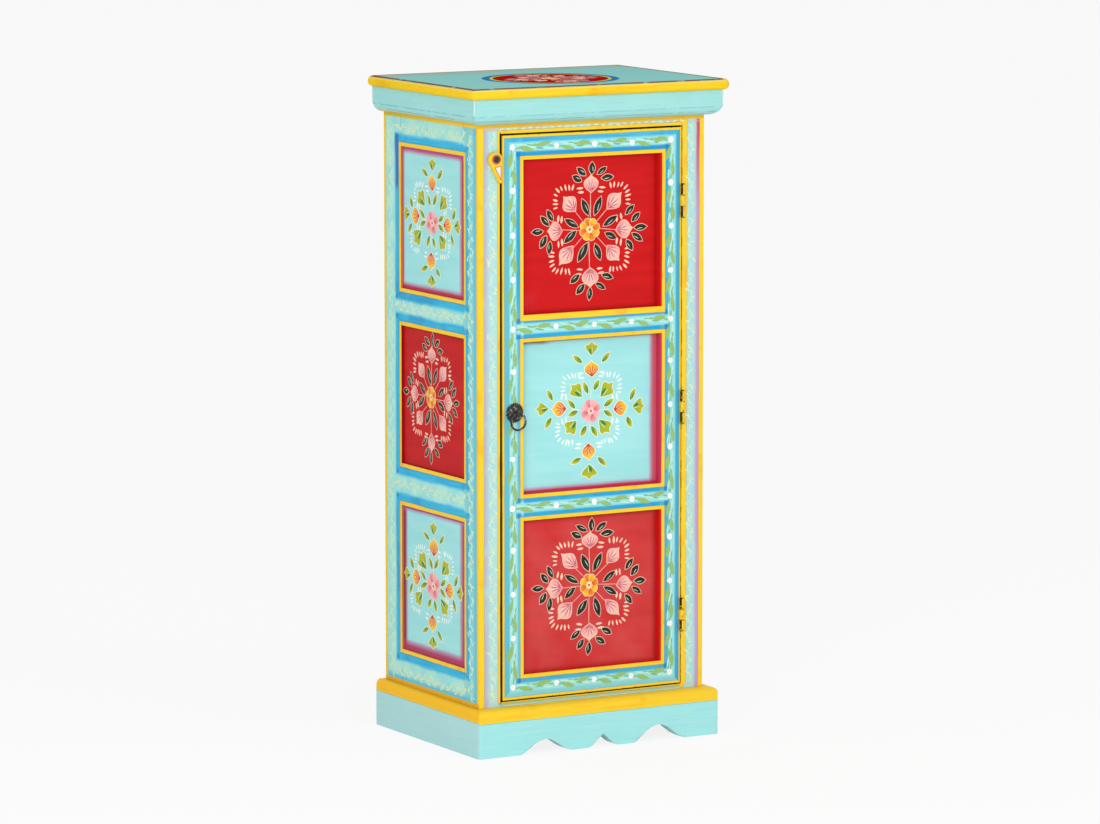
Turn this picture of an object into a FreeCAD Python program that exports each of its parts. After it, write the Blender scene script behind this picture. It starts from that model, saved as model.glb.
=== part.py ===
import FreeCAD, Part
import os
from math import acos, cos, hypot, pi, radians, sin

# Small painted cabinet with one inset panelled door, in millimetres.
# X runs to the right, Y runs from the front to the back, Z runs up from the floor.
# The origin lies on the floor, under the middle of the top board.

# Carcass: four corner posts that stand on the floor, joined by tenoned rails.
carcass_width = 350.0
carcass_depth = 265.0
post_height = 885.0
post_width = 34.0
front_post_depth = 39.5
back_post_depth = 48.5
frame_thickness = 20.0
tenon_thickness = 8.0
tenon_length = 18.0
tenon_shoulder = 9.0
rail_foot_height = 40.0

# Side frames, from the floor upwards. Their panel openings share what the rails leave.
side_bottom_rail_height = 73.0
side_lower_rail_height = 58.0
side_upper_rail_height = 51.0
side_top_rail_height = 79.0
side_opening_shares = (0.3425, 0.3253, 0.3322)
side_panel_thickness = 8.0
side_panel_recess = 3.0

# All panels slide in grooves, with room at their edges for the wood to move.
panel_tongue = 7.0
panel_room = 1.0

# Front rails above and below the door.
front_bottom_rail_height = 30.0
front_top_rail_height = 48.0

# Back frame: three rails and two plain panels.
back_bottom_rail_height = 73.0
back_middle_rail_height = 50.0
back_top_rail_height = 48.0
back_panel_thickness = 6.0
back_panel_recess = 6.0

# Floor board, two shelves and the cleats that carry them.
shelf_thickness = 14.0
cleat_width = 12.0
cleat_height = 16.0
door_back_gap = 0.5

# Plinth boards, nailed round the feet of the posts and mitred at the front.
plinth_height = 64.0
plinth_front_thickness = 23.0
plinth_side_thickness = 13.0
plinth_back_thickness = 13.0
plinth_back_overhang = 4.0
plinth_nose_height = 9.0
plinth_nose_share = 0.45
plinth_corner_radius = 4.0

# Scalloped lower edge of the front plinth board, as half widths from its own middle.
scallop_middle_x = 5.0
scallop_outer_half = 128.0
scallop_peak_half = 87.0
scallop_lobe_half = 37.0
scallop_peak_height = 21.0
scallop_cusp_height = 17.5
scallop_lobe_flat = 12.0
cusp_swing_share = 0.75

# Cornice moulding under the top board.
cornice_height = 35.0
cornice_front_projection = 21.0
cornice_side_projection = 17.5
cornice_fascia_height = 19.0
cornice_bead_height = 9.0
cornice_quirk_height = 1.5
cornice_fillet_height = 3.0
cornice_quirk_share = 0.86
cornice_bead_share = 0.94
cornice_cove_share = 0.3
cornice_fillet_share = 0.18

# Top board.
top_thickness = 15.0
top_front_overhang = 30.0
top_side_overhang = 25.0
top_back_overhang = 5.0
top_nose_radius = 6.0
top_under_radius = 4.0
top_corner_radius = 5.0

# Door: two stiles, four rails and three panels, hung inside its opening.
door_thickness = 20.0
door_stile_width = 33.0
door_latch_gap = 2.2
door_hinge_gap = 1.5
door_top_gap = 2.5
door_bottom_gap = 2.0
door_bottom_rail_height = 33.0
door_lower_rail_height = 35.5
door_upper_rail_height = 36.5
door_top_rail_height = 33.5
door_opening_shares = (0.3357, 0.3301, 0.3342)
door_panel_thickness = 6.0
door_panel_recess = 10.0
door_tenon_thickness = 7.0
door_tenon_length = 22.0

# Three butt hinges on the door's right edge.
hinge_bottom_inset = 95.0
hinge_top_inset = 99.5
hinge_length = 45.0
hinge_leaf_width = 14.0
hinge_leaf_thickness = 1.2
hinge_leaf_gap = 0.3
hinge_knuckle_radius = 2.9
hinge_pin_radius = 1.2
hinge_pin_head_radius = 2.3
hinge_pin_head_height = 0.9
hinge_screw_shares = (-0.34, 0.0, 0.34)
hinge_screw_depth_share = 0.55
hinge_screw_head_radius = 2.4
hinge_screw_radius = 1.2
hinge_screw_length = 12.0
hinge_screw_side_count = 8

# Clearances between pieces that move on each other.
running_gap = 0.3
shaft_clearance = 0.05

# Turn button: a wooden teardrop on a screw, left of the door's top corner.
latch_inset = 23.5
latch_drop = 81.0
latch_head_radius = 9.5
latch_tip_radius = 1.8
latch_reach = 33.0
latch_thickness = 7.0
latch_edge_bevel = 1.0
latch_angle_deg = -76.0
latch_washer_radius = 6.5
latch_washer_thickness = 1.0
latch_screw_radius = 2.25
latch_screw_head_radius = 4.5
latch_screw_head_height = 2.4
latch_screw_head_bevel = 1.1
latch_screw_length = 24.0
latch_slot_width = 1.1
latch_slot_depth = 0.9

# Ring pull: a serrated rosette, an eye bolt with a nut inside, and a ring.
pull_inset = 19.1
pull_rise = 8.75
rosette_radius = 14.0
rosette_tooth_height = 1.3
rosette_tooth_count = 24
rosette_thickness = 1.6
dome_radius = 10.0
dome_height = 4.9
dome_step_count = 4
dome_flat_radius = 2.4
eye_wire_radius = 1.0
eye_neck = 0.4
eye_shank_radius = 1.6
eye_shank_end = 2.0
ring_radius = 11.1
ring_wire_radius = 1.4
wire_side_count = 8
ring_flat_count = 28
eye_flat_count = 16
pull_nut_width = 9.0
pull_nut_thickness = 3.0

# Overrun of cutting solids past the faces that they cut.
overrun = 5.0

# Flats that curves and small turned pieces are worked in.
round_step_count = 6
swing_step_count = 8
turned_side_count = 16

# Axes of a box's pairs.
x_axis, y_axis, z_axis = range(3)

# Places worked out from the sizes above.
half_width = carcass_width / 2
inner_half = half_width - post_width
front_y = top_front_overhang - (carcass_depth + top_front_overhang + top_back_overhang) / 2
back_y = front_y + carcass_depth
side_front_y = front_y + front_post_depth
side_back_y = back_y - back_post_depth
frame_inner_half = half_width - frame_thickness


def frame_spans(bottom, top, rail_heights, opening_shares):
    """Heights of a frame's rails, from below, and of the openings that share what they leave."""
    free = top - bottom - sum(rail_heights)
    rails = {"bottom": (bottom, bottom + rail_heights[0])}
    openings = {}
    level = rails["bottom"][1]
    between = zip(("bottom", "middle", "top"), opening_shares, ("lower", "upper", "top"), rail_heights[1:])
    for opening_key, share, rail_key, height in between:
        openings[opening_key] = (level, level + share * free)
        rails[rail_key] = (level + share * free, level + share * free + height)
        level = rails[rail_key][1]
    return rails, openings


side_rail_spans, side_panel_spans = frame_spans(
    rail_foot_height, post_height,
    (side_bottom_rail_height, side_lower_rail_height, side_upper_rail_height, side_top_rail_height),
    side_opening_shares)

opening_bottom = rail_foot_height + front_bottom_rail_height
opening_top = post_height - front_top_rail_height

door_left = -inner_half + door_latch_gap
door_right = inner_half - door_hinge_gap
door_bottom = opening_bottom + door_bottom_gap
door_top = opening_top - door_top_gap
door_rail_spans, door_panel_spans = frame_spans(
    door_bottom, door_top,
    (door_bottom_rail_height, door_lower_rail_height, door_upper_rail_height, door_top_rail_height),
    door_opening_shares)
door_middle = (door_bottom + door_top) / 2

floor_level = opening_bottom - shelf_thickness
lower_shelf_level = (side_rail_spans["lower"][0] + side_rail_spans["lower"][1]) / 2
upper_shelf_level = (side_rail_spans["upper"][0] + side_rail_spans["upper"][1]) / 2

hinge_levels = (door_bottom + hinge_bottom_inset, door_middle, door_top - hinge_top_inset)
pin_x = inner_half - door_hinge_gap / 2
pin_y = front_y - hinge_knuckle_radius - running_gap
knuckle_length = (hinge_length - 2 * running_gap) / 3

latch_x = -half_width + latch_inset
latch_level = post_height - latch_drop
pull_x = door_left + pull_inset
pull_level = door_middle + pull_rise
eye_hole_radius = ring_wire_radius + running_gap + shaft_clearance
eye_radius = eye_hole_radius + eye_wire_radius
eye_y = front_y - rosette_thickness - dome_height - eye_neck - eye_radius - eye_wire_radius

nodes = {}


def vec(x, y, z):
    return FreeCAD.Vector(x, y, z)


def block(x_pair, y_pair, z_pair):
    """A box between two faces on each axis, given in any order."""
    lows = [min(pair) for pair in (x_pair, y_pair, z_pair)]
    sizes = [max(pair) - min(pair) for pair in (x_pair, y_pair, z_pair)]
    return Part.makeBox(*sizes, vec(*lows))


def flat_face(points):
    return Part.Face(Part.makePolygon(points + points[:1]))


def prism(points, depth):
    """A flat outline of straight sides, extruded by a vector."""
    return flat_face(points).extrude(depth)


def cylinder(radius, start, along, length):
    return Part.makeCylinder(radius, length, start, along)


def cut_all(solid, tools):
    for tool in tools:
        solid = solid.cut(tool)
    return solid


def rail(run, x_pair, y_pair, z_pair, thickness, length):
    """A rail along X or Y with a tenon centred in its thickness at each end."""
    pairs = [sorted(x_pair), sorted(y_pair), sorted(z_pair)]
    body = block(*pairs)
    across = y_axis if run == x_axis else x_axis
    middle = (pairs[across][0] + pairs[across][1]) / 2
    pairs[run] = (pairs[run][0] - length, pairs[run][1] + length)
    pairs[across] = (middle - thickness / 2, middle + thickness / 2)
    pairs[z_axis] = (pairs[z_axis][0] + tenon_shoulder, pairs[z_axis][1] - tenon_shoulder)
    return body.fuse(block(*pairs)).removeSplitter()


def panel_and_groove(run, x_pair, y_pair, z_pair):
    """A flat panel that reaches past its opening, and the groove that takes it."""
    pairs = [sorted(x_pair), sorted(y_pair), sorted(z_pair)]
    solids = []
    for reach in (panel_tongue, panel_tongue + panel_room):
        grown = [tuple(pair) for pair in pairs]
        for axis in (run, z_axis):
            grown[axis] = (pairs[axis][0] - reach, pairs[axis][1] + reach)
        solids.append(block(*grown))
    return solids


def ring_of_points(centre, radius, count, first, second):
    """Points evenly spaced round a circle in the plane of two directions."""
    turns = [2 * pi * step / count for step in range(count)]
    return [centre + first * (radius * cos(turn)) + second * (radius * sin(turn)) for turn in turns]


def skin(rims, closed):
    """A solid with flat faces between neighbouring rims, closed round in a ring or by its end rims."""
    pairs = list(zip(rims, rims[1:]))
    faces = []
    if closed:
        pairs.append((rims[-1], rims[0]))
    else:
        faces += [flat_face(rims[0]), flat_face(rims[-1])]
    for lower, upper in pairs:
        for corner in range(len(lower)):
            faces.append(flat_face([lower[corner - 1], lower[corner], upper[corner], upper[corner - 1]]))
    return Part.makeSolid(Part.makeShell(faces))


def turned(centre, axis, profile, sides):
    """A solid with flat sides through (reach along the axis, radius) steps."""
    first = vec(0, 0, 1) if axis.z == 0 else vec(1, 0, 0)
    rims = [
        ring_of_points(centre + axis * reach, radius, sides, first, axis.cross(first))
        for reach, radius in profile
    ]
    return skin(rims, False)


def countersunk_screw(start, side):
    """A wood screw along X whose cone head fills the thickness of a hinge leaf."""
    profile = [
        (0, hinge_screw_head_radius), (hinge_leaf_thickness, hinge_screw_radius),
        (hinge_screw_length, hinge_screw_radius),
    ]
    return turned(start, vec(side, 0, 0), profile, hinge_screw_side_count)


def quarter_round(start, corner, end):
    """Points after the start, round a quarter of an ellipse that bulges towards the corner."""
    centre = start + end - corner
    turns = [pi / 2 * (step + 1) / round_step_count for step in range(round_step_count)]
    return [centre + (start - centre) * cos(turn) + (end - centre) * sin(turn) for turn in turns]


def hinge_screws(side, level, face_x):
    """The three screws of one leaf; side is the way they point along X."""
    y = front_y + hinge_leaf_width * hinge_screw_depth_share
    return [
        countersunk_screw(vec(face_x, y, level + share * hinge_length), side)
        for share in hinge_screw_shares
    ]


def hinge_leaf(side, level, knuckles):
    """One leaf: a plate let into the wood, with tabs and knuckles round the pin."""
    face_x = pin_x + side * hinge_leaf_gap / 2
    plate_x = (face_x, face_x + side * hinge_leaf_thickness)
    bottom = level - hinge_length / 2
    plate_start = pin_y + hinge_knuckle_radius + running_gap
    plate = block(plate_x, (plate_start, front_y + hinge_leaf_width), (bottom, bottom + hinge_length))
    leaf = plate
    for index in knuckles:
        start = bottom + index * (knuckle_length + running_gap)
        barrel = turned(
            vec(pin_x, pin_y, start), vec(0, 0, 1),
            [(0, hinge_knuckle_radius), (knuckle_length, hinge_knuckle_radius)], turned_side_count)
        tab = block(plate_x, (pin_y, plate_start), (start, start + knuckle_length))
        leaf = leaf.fuse(barrel).fuse(tab)
    bore = cylinder(
        hinge_pin_radius + shaft_clearance, vec(pin_x, pin_y, bottom - overrun), vec(0, 0, 1),
        hinge_length + 2 * overrun)
    screws = hinge_screws(side, level, face_x)
    leaf = cut_all(leaf.cut(bore), screws)
    return leaf, plate, screws


def hinge_pin(level):
    """A plain pin with a flat head at each end."""
    bottom = level - hinge_length / 2
    pin = cylinder(hinge_pin_radius, vec(pin_x, pin_y, bottom), vec(0, 0, 1), hinge_length)
    for z in (bottom - hinge_pin_head_height, bottom + hinge_length):
        pin = pin.fuse(turned(
            vec(pin_x, pin_y, z), vec(0, 0, 1),
            [(0, hinge_pin_head_radius), (hinge_pin_head_height, hinge_pin_head_radius)], turned_side_count))
    return pin


def make_hinges():
    """All three hinges, with the recesses that they need in the post and the door."""
    frame_leaves, door_leaves, pins = [], [], []
    frame_screws, door_screws, frame_cuts, door_cuts = [], [], [], []
    for level in hinge_levels:
        leaf, plate, screws = hinge_leaf(1, level, (0, 2))
        frame_leaves.append(leaf)
        frame_screws += screws
        frame_cuts += [plate] + screws
        leaf, plate, screws = hinge_leaf(-1, level, (1,))
        door_leaves.append(leaf)
        door_screws += screws
        door_cuts += [plate] + screws
        pins.append(hinge_pin(level))
    nodes["hinge_frame_leaves"] = Part.makeCompound(frame_leaves)
    nodes["hinge_door_leaves"] = Part.makeCompound(door_leaves)
    nodes["hinge_pins"] = Part.makeCompound(pins)
    nodes["frame_hinge_screws"] = Part.makeCompound(frame_screws)
    nodes["door_hinge_screws"] = Part.makeCompound(door_screws)
    return frame_cuts, door_cuts


def make_sides():
    """Rails and panels of both side frames; returns what the posts are cut by."""
    cuts = {-1: [], 1: []}
    for side, name in ((-1, "left"), (1, "right")):
        outer = side * half_width
        rail_x = (outer, outer - side * frame_thickness)
        panel_face = outer - side * side_panel_recess
        panel_x = (panel_face, panel_face - side * side_panel_thickness)
        run_y = (side_front_y, side_back_y)
        grooves = []
        for key, span in side_panel_spans.items():
            panel, groove = panel_and_groove(y_axis, panel_x, run_y, span)
            nodes[name + "_" + key + "_panel"] = panel
            grooves.append(groove)
        rails = []
        for key, span in side_rail_spans.items():
            piece = rail(y_axis, rail_x, run_y, span, tenon_thickness, tenon_length)
            rails.append(piece)
            nodes[name + "_" + key + "_rail"] = cut_all(piece, grooves)
        cuts[side] = grooves + rails
    return cuts


def make_front_rails():
    """The rails above and below the door, between the front posts."""
    run_x = (-inner_half, inner_half)
    run_y = (front_y, front_y + frame_thickness)
    spans = {"bottom": (rail_foot_height, opening_bottom), "top": (opening_top, post_height)}
    rails = []
    for key, span in spans.items():
        nodes["front_" + key + "_rail"] = rail(x_axis, run_x, run_y, span, tenon_thickness, tenon_length)
        rails.append(nodes["front_" + key + "_rail"])
    return rails


def make_back():
    """The plain back: three rails and two panels in grooves."""
    run_x = (-inner_half, inner_half)
    rail_y = (back_y - frame_thickness, back_y)
    panel_face = back_y - back_panel_recess
    panel_y = (panel_face - back_panel_thickness, panel_face)
    bottom, top = rail_foot_height + back_bottom_rail_height, post_height - back_top_rail_height
    middle = (bottom + top - back_middle_rail_height) / 2
    rail_spans = {
        "bottom": (rail_foot_height, bottom),
        "middle": (middle, middle + back_middle_rail_height),
        "top": (top, post_height),
    }
    panel_spans = {
        "lower": (rail_spans["bottom"][1], rail_spans["middle"][0]),
        "upper": (rail_spans["middle"][1], rail_spans["top"][0]),
    }
    grooves = []
    for key, span in panel_spans.items():
        panel, groove = panel_and_groove(x_axis, run_x, panel_y, span)
        nodes["back_" + key + "_panel"] = panel
        grooves.append(groove)
    rails = []
    for key, span in rail_spans.items():
        piece = rail(x_axis, run_x, rail_y, span, tenon_thickness, tenon_length)
        rails.append(piece)
        nodes["back_" + key + "_rail"] = cut_all(piece, grooves)
    return grooves + rails


def make_posts(side_cuts, front_rails, back_cuts, hinge_cuts, latch_cut):
    """Corner posts with mortises, panel grooves and hinge recesses."""
    for side, name in ((-1, "left"), (1, "right")):
        post_x = (side * half_width, side * inner_half)
        front = block(post_x, (front_y, side_front_y), (0, post_height))
        back = block(post_x, (side_back_y, back_y), (0, post_height))
        extra = hinge_cuts if side > 0 else [latch_cut]
        nodes["front_" + name + "_post"] = cut_all(front, side_cuts[side] + front_rails + extra)
        nodes["back_" + name + "_post"] = cut_all(back, side_cuts[side] + back_cuts)


def shelf(level, shelf_front):
    """A board between the side frames, notched round the corner posts."""
    board = block(
        (-frame_inner_half, frame_inner_half), (shelf_front, back_y - frame_thickness),
        (level, level + shelf_thickness))
    posts = [
        block((side * inner_half, side * half_width), y_pair, (level - overrun, level + shelf_thickness + overrun))
        for side in (-1, 1)
        for y_pair in ((front_y, side_front_y), (side_back_y, back_y))
    ]
    return cut_all(board, posts)


def make_shelves():
    """The floor board, two shelves and a cleat under each of their ends."""
    behind_door = front_y + door_thickness + door_back_gap
    behind_rail = front_y + frame_thickness
    nodes["bottom_board"] = shelf(floor_level, behind_rail)
    nodes["lower_shelf"] = shelf(lower_shelf_level, behind_door)
    nodes["upper_shelf"] = shelf(upper_shelf_level, behind_door)
    cleats = []
    for level in (floor_level, lower_shelf_level, upper_shelf_level):
        for side in (-1, 1):
            cleats.append(block(
                (side * frame_inner_half, side * (frame_inner_half - cleat_width)),
                (side_front_y, side_back_y), (level - cleat_height, level)))
    nodes["shelf_cleats"] = Part.makeCompound(cleats)


def profile_solid(side, sections, length_pair, projection):
    """Extrudes a moulding section; side is 0 for the front, -1 or 1 for a side.

    A section point is (share of the projection, height). A pair of points stands
    for a quarter round: the corner that it bulges to, and its end.
    """
    start = min(length_pair)

    def place(share, height):
        if side == 0:
            return vec(start, front_y - share * projection, height)
        return vec(side * (half_width + share * projection), start, height)

    points = []
    for item in sections:
        if isinstance(item[0], tuple):
            points += quarter_round(points[-1], place(*item[0]), place(*item[1]))
        else:
            points.append(place(*item))
    length = max(length_pair) - start
    return prism(points, vec(length, 0, 0) if side == 0 else vec(0, length, 0))


def mitre_plan(side, front_projection, side_projection, end_y, z_pair):
    """The plan of one mitred piece, from corner mitre to corner mitre or to the back."""
    outer_y = front_y - front_projection
    outer_x = half_width + side_projection
    if side == 0:
        plan = [(-half_width, front_y), (-outer_x, outer_y), (outer_x, outer_y), (half_width, front_y)]
    else:
        plan = [
            (side * half_width, front_y), (side * outer_x, outer_y),
            (side * outer_x, end_y), (side * half_width, end_y),
        ]
    return prism([vec(x, y, z_pair[0]) for x, y in plan], vec(0, 0, z_pair[1] - z_pair[0]))


def mitred_set(prefix, sections, front_projection, side_projection, end_y, z_pair):
    """Front, left and right mouldings of one section, mitred at the front corners."""
    outer_x = half_width + side_projection
    outer_y = front_y - front_projection
    for side, name in ((0, "front"), (-1, "left"), (1, "right")):
        if side == 0:
            solid = profile_solid(side, sections, (-outer_x, outer_x), front_projection)
        else:
            solid = profile_solid(side, sections, (outer_y, end_y), side_projection)
        plan = mitre_plan(side, front_projection, side_projection, end_y, z_pair)
        nodes[prefix + "_" + name] = solid.common(plan)


def make_cornice():
    """Fascia, quirk, bead and a small fillet against the carcass."""
    bottom = post_height - cornice_height
    fillet_top = bottom + cornice_fillet_height
    fascia_bottom = post_height - cornice_fascia_height
    quirk_bottom = fascia_bottom - cornice_quirk_height
    bead_bottom = quirk_bottom - cornice_bead_height
    sections = [
        (0, bottom),
        (cornice_fillet_share, bottom),
        (cornice_fillet_share, fillet_top),
        (cornice_cove_share, bead_bottom),
        ((cornice_bead_share, bead_bottom), (cornice_bead_share, quirk_bottom)),
        (cornice_quirk_share, quirk_bottom),
        (cornice_quirk_share, fascia_bottom),
        (1, fascia_bottom),
        (1, post_height),
        (0, post_height),
    ]
    mitred_set(
        "cornice", sections, cornice_front_projection, cornice_side_projection, back_y,
        (bottom, post_height))


def swing(start, end, share):
    """Points after the start of an S curve that leaves level; a share of 1 ends level too."""
    points = []
    for step in range(1, swing_step_count + 1):
        part = step / swing_step_count
        rise = (1 - cos(pi * share * part)) / (1 - cos(pi * share))
        points.append(vec(start.x + (end.x - start.x) * part, start.y, start.z + (end.z - start.z) * rise))
    return points


def scallop_tools():
    """What is sawn out of the front plinth board's lower edge: two swells and a cusp."""
    y = front_y - plinth_front_thickness - overrun
    depth = vec(0, plinth_front_thickness + 2 * overrun, 0)
    tools = []
    for side in (-1, 1):
        outer = vec(scallop_middle_x + side * scallop_outer_half, y, 0)
        peak = vec(scallop_middle_x + side * scallop_peak_half, y, scallop_peak_height)
        inner = vec(scallop_middle_x + side * (scallop_lobe_half + scallop_lobe_flat), y, 0)
        below = [vec(inner.x, y, -overrun), vec(outer.x, y, -overrun)]
        tools.append(prism([outer] + swing(outer, peak, 1) + swing(peak, inner, 1) + below, depth))
    cusp = vec(scallop_middle_x, y, scallop_cusp_height)
    inner_half_width = scallop_lobe_half - scallop_lobe_flat
    feet = [vec(scallop_middle_x + side * inner_half_width, y, 0) for side in (-1, 1)]
    left, right = [[foot] + swing(foot, cusp, cusp_swing_share) for foot in feet]
    below = [foot - vec(0, 0, overrun) for foot in reversed(feet)]
    tools.append(prism(left + right[-2::-1] + below, depth))
    return tools


def make_plinth():
    """Boards with a rounded top edge; the front one is scalloped below."""
    end_y = back_y + plinth_back_overhang
    sections = [
        (0, 0),
        (1, 0),
        (1, plinth_height - plinth_nose_height),
        ((1, plinth_height), (1 - plinth_nose_share, plinth_height)),
        (0, plinth_height),
    ]
    mitred_set("plinth", sections, plinth_front_thickness, plinth_side_thickness, end_y, (0, plinth_height))
    outer_x = half_width + plinth_side_thickness
    envelope = block((-outer_x, outer_x), (front_y - plinth_front_thickness, end_y), (0, plinth_height))
    corners = [
        edge for edge in envelope.Edges
        if edge.BoundBox.ZLength > plinth_height / 2 and edge.CenterOfMass.y < 0
    ]
    envelope = envelope.makeFillet(plinth_corner_radius, corners)
    for name in ("front", "left", "right"):
        nodes["plinth_" + name] = nodes["plinth_" + name].common(envelope)
    nodes["plinth_front"] = cut_all(nodes["plinth_front"], scallop_tools())
    nodes["plinth_back"] = block(
        (-inner_half, inner_half), (back_y - plinth_back_thickness, back_y), (0, rail_foot_height))


def make_top():
    """The top board, with a rounded nose on all its edges."""
    board = block(
        (-half_width - top_side_overhang, half_width + top_side_overhang),
        (front_y - top_front_overhang, back_y + top_back_overhang),
        (post_height, post_height + top_thickness))
    upright = [edge for edge in board.Edges if edge.BoundBox.ZLength > top_thickness / 2]
    board = board.makeFillet(top_corner_radius, upright)
    for level, radius in ((post_height + top_thickness, top_nose_radius), (post_height, top_under_radius)):
        rim = [
            edge for edge in board.Edges
            if edge.BoundBox.ZLength < radius / 2 and abs(edge.CenterOfMass.z - level) < radius / 2
        ]
        board = board.makeFillet(radius, rim)
    nodes["top_board"] = board


def make_door(hinge_cuts, pull_cut):
    """Stiles, rails and panels of the door, in its closed place."""
    depth_y = (front_y, front_y + door_thickness)
    run_x = (door_left + door_stile_width, door_right - door_stile_width)
    panel_face = front_y + door_panel_recess
    panel_y = (panel_face, panel_face + door_panel_thickness)
    grooves = []
    for key, span in door_panel_spans.items():
        panel, groove = panel_and_groove(x_axis, run_x, panel_y, span)
        nodes["door_" + key + "_panel"] = panel
        grooves.append(groove)
    rails = []
    for key, span in door_rail_spans.items():
        piece = rail(x_axis, run_x, depth_y, span, door_tenon_thickness, door_tenon_length)
        rails.append(piece)
        nodes["door_" + key + "_rail"] = cut_all(piece, grooves)
    stile_z = (door_bottom, door_top)
    latch_stile = block((door_left, run_x[0]), depth_y, stile_z)
    hinge_stile = block((run_x[1], door_right), depth_y, stile_z)
    nodes["door_latch_stile"] = cut_all(latch_stile, grooves + rails + [pull_cut])
    nodes["door_hinge_stile"] = cut_all(hinge_stile, grooves + rails + hinge_cuts)


def button_outline():
    """A teardrop round the screw, turned about it, in the plane of the front."""
    angle = radians(latch_angle_deg)
    along = vec(cos(angle), 0, sin(angle))
    across = vec(-sin(angle), 0, cos(angle))
    centre = vec(latch_x, front_y - latch_washer_thickness - running_gap, latch_level)
    tip = centre + along * (latch_reach - latch_tip_radius)
    spread = acos((latch_head_radius - latch_tip_radius) / (latch_reach - latch_tip_radius))

    def rim(middle, radius, turn):
        return middle + along * (radius * cos(turn)) + across * (radius * sin(turn))

    head = [rim(centre, latch_head_radius, turn) for turn in (spread, pi, -spread)]
    nose = [rim(tip, latch_tip_radius, turn) for turn in (-spread, 0, spread)]
    edges = [
        Part.Arc(*head).toShape(), Part.makeLine(head[2], nose[0]),
        Part.Arc(*nose).toShape(), Part.makeLine(nose[2], head[0]),
    ]
    return Part.Face(Part.Wire(edges))


def make_latch():
    """Turn button, its washer and the round-headed screw that it turns on."""
    outward = vec(0, -1, 0)
    washer_y = front_y
    button_y = washer_y - latch_washer_thickness - running_gap
    head_y = button_y - latch_thickness - running_gap
    bore = cylinder(
        latch_screw_radius + shaft_clearance, vec(latch_x, front_y + overrun, latch_level), outward,
        latch_washer_thickness + latch_thickness + 3 * overrun)
    button = button_outline().extrude(outward * latch_thickness)
    front_rim = [
        edge for edge in button.Edges
        if abs(edge.CenterOfMass.y - (button_y - latch_thickness)) < latch_edge_bevel / 2
    ]
    nodes["turn_button"] = button.makeChamfer(latch_edge_bevel, front_rim).cut(bore)
    washer = cylinder(latch_washer_radius, vec(latch_x, washer_y, latch_level), outward, latch_washer_thickness)
    nodes["latch_washer"] = washer.cut(bore)
    shank_y = head_y - latch_screw_head_height / 2
    shank = cylinder(
        latch_screw_radius, vec(latch_x, shank_y, latch_level), vec(0, 1, 0),
        front_y + latch_screw_length - shank_y)
    head_side = latch_screw_head_height - latch_screw_head_bevel
    head = cylinder(latch_screw_head_radius, vec(latch_x, head_y, latch_level), outward, head_side)
    head = head.fuse(Part.makeCone(
        latch_screw_head_radius, latch_screw_head_radius - latch_screw_head_bevel, latch_screw_head_bevel,
        vec(latch_x, head_y - head_side, latch_level), outward))
    slot_y = head_y - latch_screw_head_height
    slot = block(
        (latch_x - latch_screw_head_radius - overrun, latch_x + latch_screw_head_radius + overrun),
        (slot_y - overrun, slot_y + latch_slot_depth),
        (latch_level - latch_slot_width / 2, latch_level + latch_slot_width / 2))
    nodes["latch_screw"] = head.cut(slot).fuse(shank)
    return shank


def rosette_plate():
    """The flat serrated plate, its teeth spaced evenly round the rim."""
    points = []
    for step in range(2 * rosette_tooth_count):
        radius = rosette_radius if step % 2 == 0 else rosette_radius - rosette_tooth_height
        turn = pi * step / rosette_tooth_count
        points.append(vec(pull_x + radius * cos(turn), front_y, pull_level + radius * sin(turn)))
    return prism(points, vec(0, -rosette_thickness, 0))


def hammered_dome(plate_y):
    """A low dome in front of the plate, worked in a few rings of one ball."""
    ball_radius = (dome_radius ** 2 + dome_height ** 2) / (2 * dome_height)
    profile = []
    for step in range(dome_step_count + 1):
        radius = dome_radius + (dome_flat_radius - dome_radius) * step / dome_step_count
        profile.append((dome_height - ball_radius + (ball_radius ** 2 - radius ** 2) ** 0.5, radius))
    return turned(vec(pull_x, plate_y, pull_level), vec(0, -1, 0), profile, rosette_tooth_count)


def forged_ring(centre, radius, wire_radius, flats, first, second):
    """A closed ring of eight-sided forged wire in the plane of two directions."""
    rims = [
        ring_of_points(centre + toward * radius, wire_radius, wire_side_count, toward, first.cross(second))
        for toward in ring_of_points(vec(0, 0, 0), 1, flats, first, second)
    ]
    return skin(rims, True)


def make_pull():
    """Rosette, eye bolt, nut and ring; returns what the stile is drilled by."""
    back_face = front_y + door_thickness
    shank_start = eye_y + eye_radius
    shank = cylinder(
        eye_shank_radius, vec(pull_x, shank_start, pull_level), vec(0, 1, 0),
        back_face + pull_nut_thickness + eye_shank_end - shank_start)
    dome = hammered_dome(front_y - rosette_thickness)
    nodes["pull_rosette"] = rosette_plate().fuse(dome).cut(shank)
    eye = forged_ring(
        vec(pull_x, eye_y, pull_level), eye_radius, eye_wire_radius, eye_flat_count, vec(0, 0, 1), vec(0, 1, 0))
    nodes["pull_eye_bolt"] = shank.fuse(eye)
    half_nut = pull_nut_width / 2
    nut = block(
        (pull_x - half_nut, pull_x + half_nut), (back_face, back_face + pull_nut_thickness),
        (pull_level - half_nut, pull_level + half_nut))
    nodes["pull_nut"] = nut.cut(shank)
    nodes["pull_ring"] = forged_ring(
        vec(pull_x, eye_y, pull_level - ring_radius), ring_radius, ring_wire_radius, ring_flat_count,
        vec(1, 0, 0), vec(0, 0, 1))
    return shank


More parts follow.
